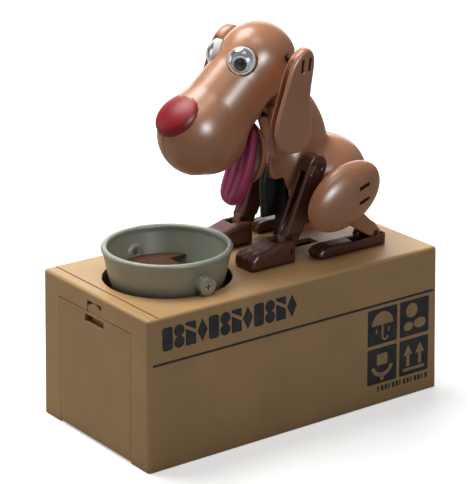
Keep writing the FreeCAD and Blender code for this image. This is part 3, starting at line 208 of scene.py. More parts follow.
def curve_through(points):
    """A closed smooth curve through points."""
    steps = 7
    points = np.array(points, float)
    share = np.linspace(0, 1, steps, endpoint=False)[:, None]
    before, after, later = (np.roll(points, -shift, 0) for shift in (-1, 1, 2))
    rows = []
    for a, b, c, d in zip(before, points, after, later):
        rows.append(0.5 * (2 * b + (c - a) * share + (2 * a - 5 * b + 4 * c - d) * share ** 2
                           + (3 * b - a - 3 * c + d) * share ** 3))
    return np.concatenate(rows)


def flat_distance(x, z, chain):
    """Signed distance from a closed chain of corners in a plane."""
    nearest = np.full(np.shape(x), 1e9)
    inside = np.zeros(np.shape(x), bool)
    for (ax, az), (bx, bz) in zip(chain, np.roll(chain, -1, 0)):
        run_x, run_z = bx - ax, bz - az
        share = np.clip(((x - ax) * run_x + (z - az) * run_z) / (run_x ** 2 + run_z ** 2 + 1e-12), 0, 1)
        gap = np.hypot(x - ax - share * run_x, z - az - share * run_z)
        nearest = np.minimum(nearest, gap)
        if az != bz:
            crosses = ((az > z) != (bz > z)) & (x < run_x * (z - az) / run_z + ax)
            inside ^= crosses
    return np.where(inside, -nearest, nearest)


def plate(points, y_from, y_to, blend=0.6, curved=True, inset=0.0):
    """An outline in the XZ plane, thick along Y, with rounded rims."""
    chain = curve_through(points) if curved else np.array(points, float)
    y_from, y_to = sorted((y_from, y_to))
    def shape(points):
        same = points.ndim == 4 and np.array_equal(points[:, 0, :, 0], points[:, -1, :, 0])
        plane = points[:, :1] if same else points
        around = flat_distance(plane[..., 0], plane[..., 2], chain) + inset
        along = np.abs(points[..., 1] - (y_from + y_to) / 2) - (y_to - y_from) / 2
        around = np.broadcast_to(around, along.shape)
        return -soft_min(-around, -along, blend)
    return shape


def plate_capsule(start, end, start_half, end_half, y_from, y_to, blend=1.0):
    """A long plate with round ends, thick along Y."""
    y_from, y_to = sorted((y_from, y_to))
    run = np.array([end[0] - start[0], end[2] - start[2]])
    def shape(points):
        x, z = points[..., 0] - start[0], points[..., 2] - start[2]
        share = np.clip((x * run[0] + z * run[1]) / (run @ run), 0, 1)
        half = start_half + (end_half - start_half) * share
        around = np.hypot(x - share * run[0], z - share * run[1]) - half
        along = np.abs(points[..., 1] - (y_from + y_to) / 2) - (y_to - y_from) / 2
        return -soft_min(-around, -along, blend)
    return shape


def along_axis(centre, direction, radius, start, stop):
    """A round bar along any direction."""
    blend = 0.3
    direction = np.array(direction) / np.linalg.norm(direction)
    def shape(points):
        local = points - centre
        depth = local @ direction
        around = np.linalg.norm(local - depth[..., None] * direction, axis=-1) - radius
        along = np.abs(depth - (start + stop) / 2) - (stop - start) / 2
        return -soft_min(-around, -along, blend)
    return shape


def set_back(shape, outer, slope):
    """Lean a shape back towards +X with the distance from its outer face."""
    def leaning(points):
        moved = points.copy()
        moved[..., 0] -= slope * np.abs(points[..., 1] - outer)
        return shape(moved)
    return leaning


def bore(centre, radius):
    """A bore that runs right through the dog, along Y."""
    reach = 40
    return rod(centre, radius, MID_Y - reach, MID_Y + reach)


def half_space(normal, place):
    """Everything behind a plane."""
    normal = np.array(normal, float)
    normal /= np.linalg.norm(normal)
    return lambda points: (points - np.array(place, float)) @ normal


def dog_half(side, gap=0.03):
    """The near or the far half of the dog."""
    return half_space((0, -side, 0), (0, MID_Y + side * gap, 0))


def turned_profile(chain, thick, centre):
    """A wall of one thickness that follows a chain of (radius, height), turned about +Z."""
    def shape(points):
        radius = np.hypot(points[..., 0] - centre[0], points[..., 1] - centre[1])
        height = points[..., 2]
        nearest = np.full(radius.shape, 1e9)
        for (ar, az), (br, bz) in zip(chain[:-1], chain[1:]):
            run_r, run_z = br - ar, bz - az
            share = np.clip(((radius - ar) * run_r + (height - az) * run_z) / (run_r ** 2 + run_z ** 2), 0, 1)
            nearest = np.minimum(nearest, np.hypot(radius - ar - share * run_r, height - az - share * run_z))
        return nearest - thick / 2
    return shape


# --- from a shape to a mesh -----------------------------------------------------------


def surface_of(shape, low, high, cell):
    """Points and four-cornered faces on the surface of a shape, by surface nets, then settled onto it."""
    margin = 2.3 * cell
    low = np.array(low, float) - margin
    counts = np.ceil((np.array(high) + margin - low) / cell).astype(int) + 1
    axes = [low[i] + cell * np.arange(counts[i]) for i in range(3)]
    value = shape(np.stack(np.meshgrid(*axes, indexing="ij"), -1))
    total, hits, quads = np.zeros((value.size, 3)), np.zeros(value.size), []
    for axis in range(3):
        step = np.eye(3, dtype=int)[axis]
        first = np.take(value, range(counts[axis] - 1), axis)
        second = np.take(value, range(1, counts[axis]), axis)
        edge = np.argwhere((first < 0) != (second < 0))
        a, b = value[tuple(edge.T)], value[tuple((edge + step).T)]
        point = low + cell * (edge + (a / (a - b))[:, None] * step)
        u, v = np.roll(step, 1), np.roll(step, 2)
        around = np.stack([np.ravel_multi_index(tuple((edge + shift).T), counts)
                           for shift in (-u - v, -v, 0 * u, -u)], 1)
        for column in around.T:
            np.add.at(total, column, point)
            np.add.at(hits, column, 1)
        quads.append(np.where((a < 0)[:, None], around, around[:, ::-1]))
    used = np.flatnonzero(hits)
    number = np.full(value.size, -1)
    number[used] = np.arange(used.size)
    points = total[used] / hits[used][:, None]
    nudge, settling_steps = cell * 0.1, 4
    for _ in range(settling_steps):
        slope = [shape(points + nudge * way) - shape(points - nudge * way) for way in np.eye(3)]
        slope = np.stack(slope, -1) / (2 * nudge)
        move = shape(points)[:, None] * slope / np.maximum((slope ** 2).sum(-1, keepdims=True), 0.2)
        points = points - np.clip(move, -cell / 2, cell / 2)
    return points, number[np.concatenate(quads)]


def mesh_piece(name, points, faces, material, body, node=None, smooth=True):
    """A new piece on a body, made from points in millimetres."""
    mesh = bpy.data.meshes.new(name)
    mesh.from_pydata((np.asarray(points) * MM).tolist(), [], [list(face) for face in faces])
    mesh.update()
    mesh.polygons.foreach_set("use_smooth", [smooth] * len(mesh.polygons))
    mesh.materials.append(material)
    piece = bpy.data.objects.new(name, mesh)
    bpy.context.scene.collection.objects.link(piece)
    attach(piece, body)
    if node:
        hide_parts(*([node] if isinstance(node, str) else node))
    return piece


def sculpt(node, shape, material, body, cell=0.5, spare=1.2):
    """A piece that stands for a CAD node, made from a shape that stays within that node's box and spare."""
    low, high = corners(node)
    size = cell * 1
    points, faces = surface_of(shape, low - spare, high + spare, size)
    return mesh_piece(node + "_form", points, faces.tolist(), material, body, node)


# --- materials ------------------------------------------------------------------------


def tone(red, green, blue):
    """A display colour, 0 to 255, as scene-linear values."""
    linear = []
    for level in (red, green, blue):
        level /= 255
        linear.append(level / 12.92 if level <= 0.04045 else ((level + 0.055) / 1.055) ** 2.4)
    return (*linear, 1.0)


def add(tree, kind, settings=None, **inputs):
    """A shader node with its settings and its inputs, which are values or other nodes' outputs."""
    node = tree.nodes.new("ShaderNode" + kind)
    for name, setting in (settings or {}).items():
        setattr(node, name, setting)
    for name, source in inputs.items():
        key = int(name[1:]) if name[0] == "n" and name[1:].isdigit() else name.replace("_", " ")
        if isinstance(source, bpy.types.NodeSocket):
            tree.links.new(source, node.inputs[key])
        else:
            node.inputs[key].default_value = source
    return node


def scaled(colour, share):
    """A colour made brighter or darker."""
    return (*(min(1.0, level * share) for level in colour[:3]), 1.0)


def ramp(tree, source, low, high):
    """0 below low, 1 above high, smooth in between."""
    return add(tree, "MapRange", {"interpolation_type": "SMOOTHSTEP"},
               Value=source, From_Min=low, From_Max=high).outputs["Result"]


def finish(name, colour, rough=0.35, mottle=0.06, grain=0.12, grain_mm=0.5, wear=0.25, wear_colour=None,
           crevice_shade=0.5, metal=0.0, coat=0.0, streak=0.0):
    """A moulded or metal surface: colour drift, fine grain, uneven gloss, worn edges and painted shade in corners
    and crevices.
    """
    material = bpy.data.materials.new(name)
    material.use_nodes = True
    tree = material.node_tree
    shader = tree.nodes["Principled BSDF"]
    broad_scale, patch_scale = 42.0, 260.0
    edge_reach, shade_reach, bump_height = 0.0009, 0.006, 0.00012
    shade_tint, coat_roughness = (0.28, 0.22, 0.2, 1), 0.32
    place = add(tree, "TexCoord").outputs["Object"]
    if streak:
        place = add(tree, "Mapping", Vector=place, Scale=(1, 1, streak)).outputs["Vector"]
    broad = add(tree, "TexNoise", Vector=place, Scale=broad_scale, Detail=3.0, Roughness=0.55).outputs["Fac"]
    patch = add(tree, "TexNoise", Vector=place, Scale=patch_scale, Detail=4.0, Distortion=0.5).outputs["Fac"]
    fine = add(tree, "TexNoise", Vector=place, Scale=1 / (grain_mm * MM), Detail=2.0).outputs["Fac"]
    drift = add(tree, "MixRGB", Fac=ramp(tree, broad, 0.32, 0.68),
                Color1=scaled(colour, 1 - mottle), Color2=scaled(colour, 1 + mottle)).outputs["Color"]
    shade = add(tree, "MixRGB", Fac=fine, Color1=(0.6, 0.6, 0.6, 1), Color2=(1, 1, 1, 1)).outputs["Color"]
    speck = add(tree, "MixRGB", {"blend_type": "MULTIPLY"}, Fac=mottle, Color1=drift, Color2=shade)
    inside = add(tree, "AmbientOcclusion", {"samples": 4, "inside": True}, Distance=edge_reach).outputs["AO"]
    worn = add(tree, "Math", {"operation": "MULTIPLY"}, n0=ramp(tree, inside, 0.75, 0.35),
               n1=ramp(tree, patch, 0.35, 0.65))
    worn = add(tree, "Math", {"operation": "MULTIPLY"}, n0=worn.outputs["Value"], n1=wear)
    rubbed = add(tree, "MixRGB", Fac=worn.outputs["Value"], Color1=speck.outputs["Color"],
                 Color2=wear_colour or scaled(colour, 1.5))
    # painted shade: ambient occlusion darkens corners, creases and recesses towards a dark tint, standing in for
    # the shade that falls there
    corner = add(tree, "AmbientOcclusion", {"samples": 4}, Distance=shade_reach).outputs["AO"]
    corner_shaded = add(tree, "MixRGB", {"blend_type": "MULTIPLY"}, Fac=crevice_shade, Color1=rubbed.outputs["Color"],
                Color2=add(tree, "MixRGB", Fac=ramp(tree, corner, 0.25, 0.95),
                           Color1=shade_tint, Color2=(1, 1, 1, 1)).outputs["Color"])
    gloss = add(tree, "MapRange", Value=patch, To_Min=rough * 0.86, To_Max=rough * 1.16)
    height = add(tree, "Math", {"operation": "ADD"}, n0=fine,
                 n1=add(tree, "Math", {"operation": "MULTIPLY"}, n0=patch, n1=1.5).outputs["Value"])
    bump = add(tree, "Bump", Strength=grain, Distance=bump_height, Height=height.outputs["Value"])
    tree.links.new(corner_shaded.outputs["Color"], shader.inputs["Base Color"])
    tree.links.new(gloss.outputs["Result"], shader.inputs["Roughness"])
    tree.links.new(bump.outputs["Normal"], shader.inputs["Normal"])
    shader.inputs["Metallic"].default_value = metal
    shader.inputs["Coat Weight"].default_value = coat
    shader.inputs["Coat Roughness"].default_value = coat_roughness
    return material


def clear_dome(name):
    """A thin clear moulding that lets the light through and only shows its reflections."""
    material = bpy.data.materials.new(name)
    material.use_nodes = True
    tree = material.node_tree
    output = tree.nodes["Material Output"]
    patch = add(tree, "TexNoise", Vector=add(tree, "TexCoord").outputs["Object"], Scale=900.0, Detail=3.0)
    gloss = add(tree, "MapRange", Value=patch.outputs["Fac"], To_Min=0.02, To_Max=0.08).outputs["Result"]
    weight = add(tree, "Fresnel", IOR=1.5).outputs["Fac"]
    shine = add(tree, "BsdfGlossy", Color=(1, 1, 1, 1), Roughness=gloss)
    through = add(tree, "BsdfTransparent", Color=(0.97, 0.98, 1.0, 1))
    path = add(tree, "LightPath").outputs["Is Camera Ray"]
    weight = add(tree, "Math", {"operation": "MULTIPLY"}, n0=weight, n1=path).outputs["Value"]
    mixed = add(tree, "MixShader", Fac=weight, n1=through.outputs["BSDF"], n2=shine.outputs["BSDF"])
    tree.links.new(mixed.outputs["Shader"], output.inputs["Surface"])
    return material


CASE_TAN = tone(206, 165, 112)
DOG_TAN = tone(205, 143, 104)
DOG_BROWN = tone(104, 58, 44)
# In each finish, the darkening of corners and crevices is painted shade; dog_tan takes the most of it.
MATERIALS = {
    "tan_case": finish("case_tan", CASE_TAN, rough=0.42, mottle=0.05, grain=0.25, grain_mm=0.7, wear=0.35,
                       wear_colour=tone(232, 206, 164), crevice_shade=0.45),
    "tan_door": finish("door_tan", tone(202, 162, 112), rough=0.45, mottle=0.05, grain=0.25, grain_mm=0.7,
                       wear=0.35, wear_colour=tone(228, 202, 162), crevice_shade=0.5),
    "bowl_grey": finish("bowl_grey", tone(176, 182, 166), rough=0.38, mottle=0.04, grain=0.12,
                        grain_mm=0.5, wear=0.6, wear_colour=tone(222, 226, 214), crevice_shade=0.4),
    "tray_brown": finish("tray_brown", tone(96, 62, 38), rough=0.42, mottle=0.2, grain=0.3, grain_mm=0.6,
                         wear=0.4, wear_colour=tone(150, 108, 70), crevice_shade=0.7),
    "dog_tan": finish("dog_tan", DOG_TAN, rough=0.31, mottle=0.04, grain=0.06, grain_mm=0.45, wear=0.25,
                      wear_colour=tone(232, 184, 146), crevice_shade=0.9, coat=0.5),
    "dog_brown": finish("dog_brown", DOG_BROWN, rough=0.33, mottle=0.08, grain=0.10, grain_mm=0.45,
                        wear=0.5, wear_colour=tone(168, 112, 90), crevice_shade=0.6),
    "nose_red": finish("nose_red", tone(164, 16, 34), rough=0.42, mottle=0.07, grain=0.16, grain_mm=0.4,
                       wear=0.3, wear_colour=tone(226, 96, 96), crevice_shade=0.5),
    "tongue_pink": finish("tongue_pink", tone(196, 66, 122), rough=0.36, mottle=0.06, grain=0.14,
                          grain_mm=0.4, wear=0.35, wear_colour=tone(228, 132, 172), crevice_shade=0.7),
    "eye_white": finish("eye_white", tone(255, 255, 255), rough=0.5, mottle=0.02, grain=0.03,
                        grain_mm=0.3, wear=0.1, wear_colour=tone(254, 254, 254), crevice_shade=0.0),
    "pupil_black": finish("pupil_black", tone(3, 3, 6), rough=0.75, mottle=0.1, grain=0.03, grain_mm=0.3,
                          wear=0.05, wear_colour=tone(16, 16, 22), crevice_shade=0.0),
    "screw_steel": finish("screw_steel", tone(196, 196, 190), rough=0.24, mottle=0.05, grain=0.10,
                          grain_mm=0.2, wear=0.4, wear_colour=tone(236, 236, 232), crevice_shade=0.8, metal=1.0),
    "pin_steel": finish("pin_steel", tone(58, 44, 38), rough=0.5, mottle=0.1, grain=0.10, grain_mm=0.2,
                        wear=0.2, wear_colour=tone(96, 80, 70), crevice_shade=0.7, metal=0.3),
    "inner_black": finish("inner_black", tone(30, 26, 25), rough=0.45, mottle=0.15, grain=0.2,
                          grain_mm=0.5, wear=0.3, wear_colour=tone(88, 80, 76), crevice_shade=0.4),
    "gear_white": finish("gear_white", tone(226, 222, 208), rough=0.4, mottle=0.04, grain=0.12,
                         grain_mm=0.4, wear=0.2, wear_colour=tone(245, 243, 236), crevice_shade=0.6),
    "motor_can": finish("motor_can", tone(180, 178, 172), rough=0.3, mottle=0.06, grain=0.10,
                        grain_mm=0.3, wear=0.3, wear_colour=tone(230, 228, 224), crevice_shade=0.6, metal=1.0,
                        streak=0.1),
    "board_green": finish("board_green", tone(34, 92, 54), rough=0.4, mottle=0.12, grain=0.2,
                          grain_mm=0.6, wear=0.3, wear_colour=tone(120, 160, 110), crevice_shade=0.5),
    "cell_wrap": finish("cell_wrap", tone(64, 84, 120), rough=0.3, mottle=0.05, grain=0.06, grain_mm=0.5,
                        wear=0.4, wear_colour=tone(170, 176, 190), crevice_shade=0.5, metal=0.3),
    "contact_nickel": finish("contact_nickel", tone(206, 200, 184), rough=0.22, mottle=0.05, grain=0.1,
                             grain_mm=0.2, wear=0.3, wear_colour=tone(240, 238, 230), crevice_shade=0.6, metal=1.0),
    "eye_clear": clear_dome("eye_clear"),
}
PRINT_NAVY = finish("print_navy", tone(26, 30, 42), rough=0.5, mottle=0.1, grain=0.3, grain_mm=0.5,
                    wear=0.15, wear_colour=tone(120, 104, 80), crevice_shade=0.2)
PRINT_TAN = finish("print_tan", tone(190, 150, 102), rough=0.45, mottle=0.05, grain=0.25, grain_mm=0.7,
                   wear=0.2, wear_colour=tone(220, 190, 150), crevice_shade=0.2)


def paint_frame():
    """Every CAD node that stays visible gets the finish of its own material slot."""
    for subpart in frame["record"]["subparts"]:
        node = frame["nodes"][subpart["node"]]
        node.data.materials.clear()
        node.data.materials.append(MATERIALS[subpart["material_slot"]])


# --- bowl -----------------------------------------------------------------------------


def make_bowl():
    """A tapered cup with a rolled rim, open at the side where the coins slide out."""
    low, high = corners("bowl")
    centre = off(pivot("bowl_tilt"))
    wall_thick, rim_thick, wall_lean = 1.7, 2.5, 0.19
    boss_radius, boss_end, screw_bore = 3.35, 26.93, 1.06
    chute_start, chute_end, chute_half = 13.5, 19.5, 14
    rim = (high[0] - low[0]) / 2 - rim_thick / 2
    top, floor = high[2] - rim_thick / 2, low[2] + wall_thick / 2
    waist = rim - (top - LID) * wall_lean
    chain = [(0, floor), (rim - 7.2, floor), (rim - 6.2, floor + 1.2), (waist - 0.3, LID), (rim, top)]
    wall = turned_profile(chain, wall_thick, centre)
    roll = turned_profile([(rim, top), (rim, top + 0.001)], rim_thick, centre)
    bosses = [rod(centre, boss_radius, centre[1] + side * (waist - 0.8), centre[1] + side * boss_end)
              for side in SIDES.values()]
    screws = rod(centre, screw_bore, centre[1] - 40, centre[1] + 40, 0.1)
    chute_low = (centre[0] + chute_start, centre[1] - chute_half, low[2] - 1)
    chute = brick(chute_low, (centre[0] + chute_end, centre[1] + chute_half, floor + 2))
    shape = cut(0.4, join(0.8, wall, roll, *bosses), screws, chute)
    sculpt("bowl", shape, MATERIALS["bowl_grey"], "bowl", 0.6)


# --- dog ------------------------------------------------------------------------------

HEAD_SLIM = 0.9
CROWN_RADIUS, MUZZLE_RADIUS = 17.2, 18.0
SHELL = 1.8
JAW_BORE, TIGHT_BORE, LOOSE_BORE = 0.96, 1.3, 1.36
SOLE = LID + 0.02
NOSE = off(MUZZLE, x=-9.0, z=6.8)
NOSE_LEAN = math.radians(40)


def sight(side):
    """The direction in which an eye looks, and the middle of the eye."""
    joint = JOINTS["pupil_near_roll" if side < 0 else "pupil_far_roll"]
    return np.array(joint["axis"], float), np.array(joint["pos_m"]) / MM


def nose_shape():
    """A broad round cap that sits on the upper front of the muzzle."""
    facing, rim_radius, rim_round = (-math.sin(NOSE_LEAN), 0, math.cos(NOSE_LEAN)), 10.9, 1.6
    dome = egg(NOSE, (13.2, 13.0, 8.2), -math.degrees(NOSE_LEAN))
    return meet(rim_round, dome, along_axis(NOSE, facing, rim_radius, -9, 12))


def head_shape():
    """Crown and muzzle as one skin with a slight waist, open under the chin and at the nape."""
    waist_depth = 1.6
    waist = taper(CROWN, MUZZLE, CROWN_RADIUS - waist_depth, MUZZLE_RADIUS - waist_depth, HEAD_SLIM)
    crown = taper(CROWN, off(CROWN, x=0.1), CROWN_RADIUS - 0.2, CROWN_RADIUS - 0.2, HEAD_SLIM)
    muzzle = taper(off(MUZZLE, x=-0.7), off(MUZZLE, x=4.2, z=-1.6),
                   MUZZLE_RADIUS + 0.1, MUZZLE_RADIUS - 1.0, HEAD_SLIM)
    form = join(3.0, join(3.0, waist, crown), muzzle)
    skin = hollow(SHELL, form, 0.5)
    lip_view = [(-6.6, 98), (-4.9, 109), (-2.0, 117.2), (3.6, 127), (10, 133), (40, 133), (40, 98)]
    mouth = plate(lip_view, MID_Y - 30, MID_Y + 30, 0.5, False)
    tongue_view = [(-9, 98), (-7, 109), (-3.7, 117.2), (3.1, 127), (10, 133), (30, 133), (30, 98)]
    tongue_room = plate(tongue_view, MID_Y - 9, MID_Y + 9, 0.5, False)
    nape_view = [(3, 127), (4, 149), (12, 155), (40, 155), (40, 119)]
    nape = plate(nape_view, MID_Y - 11, MID_Y + 11, 2.0, False)
    sockets = []
    for side in SIDES.values():
        sockets.append(rod(NECK, 3.0, MID_Y + side * 7.2, MID_Y + side * 14.2))
        sockets.append(rod(JAW, 2.6, MID_Y + side * 8.8, MID_Y + side * 13.0))
    solid = join(0.6, cut(0.7, skin, mouth, nape), *[meet(0.3, socket, form) for socket in sockets])
    under_nose, seat_depth, eye_seat = nose_shape(), 0.4, 6.05
    tools = [lambda points: under_nose(points) + seat_depth, tongue_room]
    for side in SIDES.values():
        direction, centre = sight(side)
        tools.append(along_axis(centre, direction, eye_seat, -2.5, 8))
    for side in SIDES.values():
        tools.append(rod(pivot("ear_near_flop"), TIGHT_BORE, MID_Y + side * 12, MID_Y + side * 24))
    tools.append(rod(NECK, TIGHT_BORE, MID_Y - 14, MID_Y + 14))
    return cut(0.25, solid, *tools)


def make_head():
    """The two halves of the head, parted by a seam below the nose only, and the nose."""
    tan = MATERIALS["dog_tan"]
    whole = head_shape()
    below_nose = half_space((0, 0, 1), off(NOSE, z=-2))
    for name, side in SIDES.items():
        seam = meet(0.1, dog_half(side, 0.02), below_nose)
        closed = meet(0.1, dog_half(side, -0.3), lambda points: -below_nose(points))
        sculpt(f"head_{name}", meet(0.1, whole, join(0.1, seam, closed)), tan, "head", 0.5)
    inside = taper(CROWN, MUZZLE, CROWN_RADIUS - 4.2, MUZZLE_RADIUS - 4.0, HEAD_SLIM)
    sculpt("nose", cut(0.4, nose_shape(), inside), MATERIALS["nose_red"], "head", 0.4, 4.5)


def lathe(name, profile, centre, direction, material, body, node=None):
    """A closed ring of (radius, depth) points turned about an axis."""
    steps = 64
    direction = Vector(direction).normalized()
    side = direction.orthogonal().normalized()
    up = direction.cross(side)
    points, faces = [], []
    for step in range(steps):
        angle = 2 * math.pi * step / steps
        outwards = side * math.cos(angle) + up * math.sin(angle)
        for radius, depth in profile:
            points.append(Vector(centre) + outwards * radius + direction * depth)
    count = len(profile)
    for step in range(steps):
        after = (step + 1) % steps
        for row in range(count):
            later = (row + 1) % count
            here, there = step * count, after * count
            faces.append((here + row, there + row, there + later, here + later))
    return mesh_piece(name, points, faces, material, body, node)


def arc(radius_from, radius_to, centre, radius, steps=10):
    """Points of a circle in a profile, between two angles in degrees."""
    turns = np.radians(np.linspace(radius_from, radius_to, steps))
    return [(centre[0] + radius * math.cos(turn), centre[1] + radius * math.sin(turn)) for turn in turns]


def make_eyes():
    """White cups under clear domes, each with a loose black disc that has a pale rim."""
    eye_radius, tiny = 5.9, 0.02
    white, clear, black = (MATERIALS[key] for key in ("eye_white", "eye_clear", "pupil_black"))
    for name, side in SIDES.items():
        direction, centre = sight(side)
        lip = (eye_radius - 0.35, 0.45)
        cup = [(tiny, -2.4), (eye_radius - 0.4, -2.4), (eye_radius, -2.0)]
        cup += arc(0, 90, lip, 0.35, 5) + arc(90, 180, lip, 0.35, 5)
        cup += [(eye_radius - 0.75, -0.1), (eye_radius - 1.0, -0.2), (tiny, -0.2)]
        piece = lathe(f"eye_cup_{name}", cup, centre, direction, white, "head", None)
        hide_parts("eye_cups")
        rise, rim = 2.6, eye_radius - 0.15
        curve = (rim ** 2 + rise ** 2) / (2 * rise)
        spread = math.degrees(math.asin(rim / curve))
        dome_centre, dome_wall = (0, 0.82 + rise - curve), 0.5
        dome = arc(90 - spread, 89.9, dome_centre, curve, 14)
        dome += arc(89.9, 90 - spread, dome_centre, curve - dome_wall, 14)
        piece = lathe(f"eye_dome_{name}", dome, centre, direction, clear, "head", None)
        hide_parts("eye_domes")
        pupil = f"pupil_{name}"
        disc_centre, disc_radius, disc_half = middle(pupil), 2.3, 0.28
        disc = [(tiny, -disc_half), (disc_radius, -disc_half)]
        disc += arc(-90, 90, (disc_radius, 0.0), disc_half, 7) + [(tiny, 0.3)]
        lathe(f"{pupil}_form", disc, disc_centre, direction, black, pupil, pupil)
        ring = arc(-90, 269, (3.15, -0.05), 0.42, 12)
        lathe(f"{pupil}_rim", ring, disc_centre, direction, white, pupil, None)


def make_ears():
    """Long lop ears, moulded as channels that open to the front."""
    shape_points = [(13.0, 161.2), (17.6, 156.5), (15.6, 140), (16.6, 127), (14.0, 119.4), (7.0, 117.0),
                    (-0.6, 120.4), (-3.6, 128), (0.4, 142), (6.0, 156)]
    open_front = [(x - 9.0, z) for x, z in shape_points]
    slot_half_width, slot_half_height, slot_lean = 0.6, 2.8, 8
    for name, side in SIDES.items():
        outer, inner = side_faces(f"ear_{name}", side)
        blank = set_back(plate(shape_points, inner, outer, 2.6), outer, 0.2)
        channel = plate(open_front, inner + side * 0.9, outer - side * 1.4, 0.6, inset=0.9)
        tools = [channel, rod(pivot(f"ear_{name}_flop"), LOOSE_BORE, MID_Y + side * 19, outer - side * 2.2)]
        for x, z in ((10.9, 154.0), (14.6, 154.4)):
            start = (x - slot_half_width, outer - side * 2.8, z - slot_half_height)
            end = (x + slot_half_width, outer + side * 2, z + slot_half_height)
            tools.append(brick(start, end, slot_lean))
        shape = cut(0.5, blank, *tools)
        sculpt(f"ear_{name}", shape, MATERIALS["dog_tan"], f"ear_{name}", 0.45, 4.0)


def make_jaw():
    """A spoon-shaped lower jaw, and the tongue that lies in it."""
    centre = off(JAW, x=-4.2, z=-17.2)
    bowl = cut(0.3, egg(centre, (9.6, 11.0, 15.0), -8), egg(centre, (7.9, 9.3, 13.3), -8))
    front_view = [(-20, 94), (-20, 135), (3.6, 135), (5.6, 117), (2.4, 94)]
    front = plate(front_view, MID_Y - 20, MID_Y + 20, 0.4, False)
    lugs = []
    lug_view = [(3.9, 129), (5, 132.4), (7.2, 132.2), (9.8, 120), (7.4, 118)]
    for side in SIDES.values():
        lugs.append(plate(lug_view, MID_Y + side * 6.4, MID_Y + side * 8.4, 0.5, False))
    shape = cut(0.4, join(0.6, cut(0.7, bowl, front), *lugs), bore(JAW, JAW_BORE))
    sculpt("jaw", shape, MATERIALS["dog_tan"], "jaw", 0.42)
    side_view = [(4.6, 123.6), (5.2, 117), (3.5, 107), (1.0, 98), (-1.0, 90.6), (-5.6, 89.8), (-7.2, 94),
                 (-3.8, 103), (-0.8, 112), (0.8, 119), (2.5, 123.6)]
    slab = plate(side_view, MID_Y - 7.4, MID_Y + 7.4, 3.0)
    round_tip = egg(off(JAW, x=-6, z=-20), (40, 8.6, 21.4))
    grooves = []
    for side in SIDES.values():
        root = (0.4, MID_Y + side * 3.2, 124)
        bend = (-3.2, MID_Y + side * 2.6, 106)
        tip = (-7.6, MID_Y + side * 1.7, 95)
        grooves.append(taper(root, bend, 0.9, 0.9))
        grooves.append(taper(bend, tip, 0.9, 0.5))
    tongue = cut(1.2, meet(2.0, slab, round_tip), *grooves)
    sculpt("tongue", tongue, MATERIALS["tongue_pink"], "jaw", 0.42)


def make_trunk():
    """Trunk, chest and neck as one hollow form in two halves, open under the belly."""
    trunk = egg(off(HIP, x=-2.5, z=-3.0), (20.8, 19.0, 19.8))
    chest = egg(off(SHOULDER, x=-0.8, z=-2.4), (12.0, 11.0, 17.0))
    neck = egg(off(NECK, x=13.2, z=-22.6), (12.2, 10.6, 24.0), -28)
    form = join(2.5, join(5.0, trunk, chest), neck)
    skin = hollow(SHELL, form, 0.5)
    belly_view = [(14, 70), (14, 95), (18, 99), (30, 99), (48, 79), (50, 70)]
    belly = plate(belly_view, MID_Y - 6.4, MID_Y + 6.4, 1.0, False)
    bosses = [rod(SHOULDER, 3.0, MID_Y - 9.5, MID_Y + 9.5), rod(NECK, 3.0, MID_Y - 6.5, MID_Y + 6.5),
              rod(HIP, 3.0, MID_Y - 18, MID_Y + 18)]
    fork = middle("fork_pin")
    bosses += [rod(fork, 3.0, MID_Y + side * 6.6, MID_Y + side * 8.6) for side in SIDES.values()]
    bores = [bore(SHOULDER, LOOSE_BORE), bore(NECK, LOOSE_BORE), bore(HIP, TIGHT_BORE)]
    whole = cut(0.3, join(0.5, cut(0.8, skin, belly), *bosses), *bores)
    for name, side in SIDES.items():
        shape = meet(0.35, whole, dog_half(side))
        sculpt(f"body_{name}", shape, MATERIALS["dog_tan"], "dog_body", 0.55)


def make_throat():
    """The inner part of the neck, which shows behind the jaw."""
    side_view = [(12.6, 131), (14.8, 118), (16.4, 107), (24, 107), (26, 118), (20, 131)]
    web = plate(side_view, MID_Y - 5.0, MID_Y + 5.0, 1.0, False)
    points, faces = surface_of(web, (6, MID_Y - 6, 100), (27, MID_Y + 6, 132), 0.6)
    mesh_piece("throat_web", points, faces.tolist(), MATERIALS["dog_tan"], "dog_body", None)


def make_belly_shade_plate():
    """A dark plate below the chest, beside the drive arm: painted shade where the chest lies in shadow."""
    arm = corners("drive_arm")[1][1]
    side_view = [(13.4, 80), (12.6, 95), (14.5, 104), (22, 104), (22.3, 96), (21.6, 80)]
    web = plate(side_view, arm + 0.5, arm + 3.7, 1.4, False)
    points, faces = surface_of(web, (11, arm, 79), (24, arm + 5, 105), 0.5)
    # painted shade: a dark plate that stands in for the shadow below the chest
    mesh_piece("belly_shade_plate", points, faces.tolist(), MATERIALS["inner_black"], "dog_body", None)


def make_forelegs():
    """Channel-shaped forelegs, open to the front, with a knuckle at the shoulder."""
    for name, side in SIDES.items():
        outer, inner = side_faces(f"foreleg_{name}", side)
        foot, top = off(PAW), off(SHOULDER, x=-0.9, z=0.4)
        blank = plate_capsule(foot, top, 4.0, 4.9, inner, outer)
        groove = plate_capsule(off(foot, x=-3.6, z=10), off(top, x=-7.6, z=-6), 4.2, 5.0,
                               inner + side * 1.5, outer - side * 1.5, 0.8)
        slim = [brick((PAW[0] - 9, edge, PAW[2] - 9), (PAW[0] + 9, edge + way * 4, PAW[2] + 6))
                for edge, way in ((outer - side * 0.9, side), (inner + side * 0.9, -side))]
        slot_start = (top[0] - 4.0, outer - side * 0.9, top[2] - 3.4)
        slot = brick(slot_start, (top[0] - 2.9, outer + side * 2, top[2] + 1.6), 30)
        shape = cut(0.5, blank, groove, *slim, slot, bore(PAW, LOOSE_BORE), bore(SHOULDER, TIGHT_BORE))
        sculpt(f"foreleg_{name}", shape, MATERIALS["dog_brown"], "forelegs", 0.42)


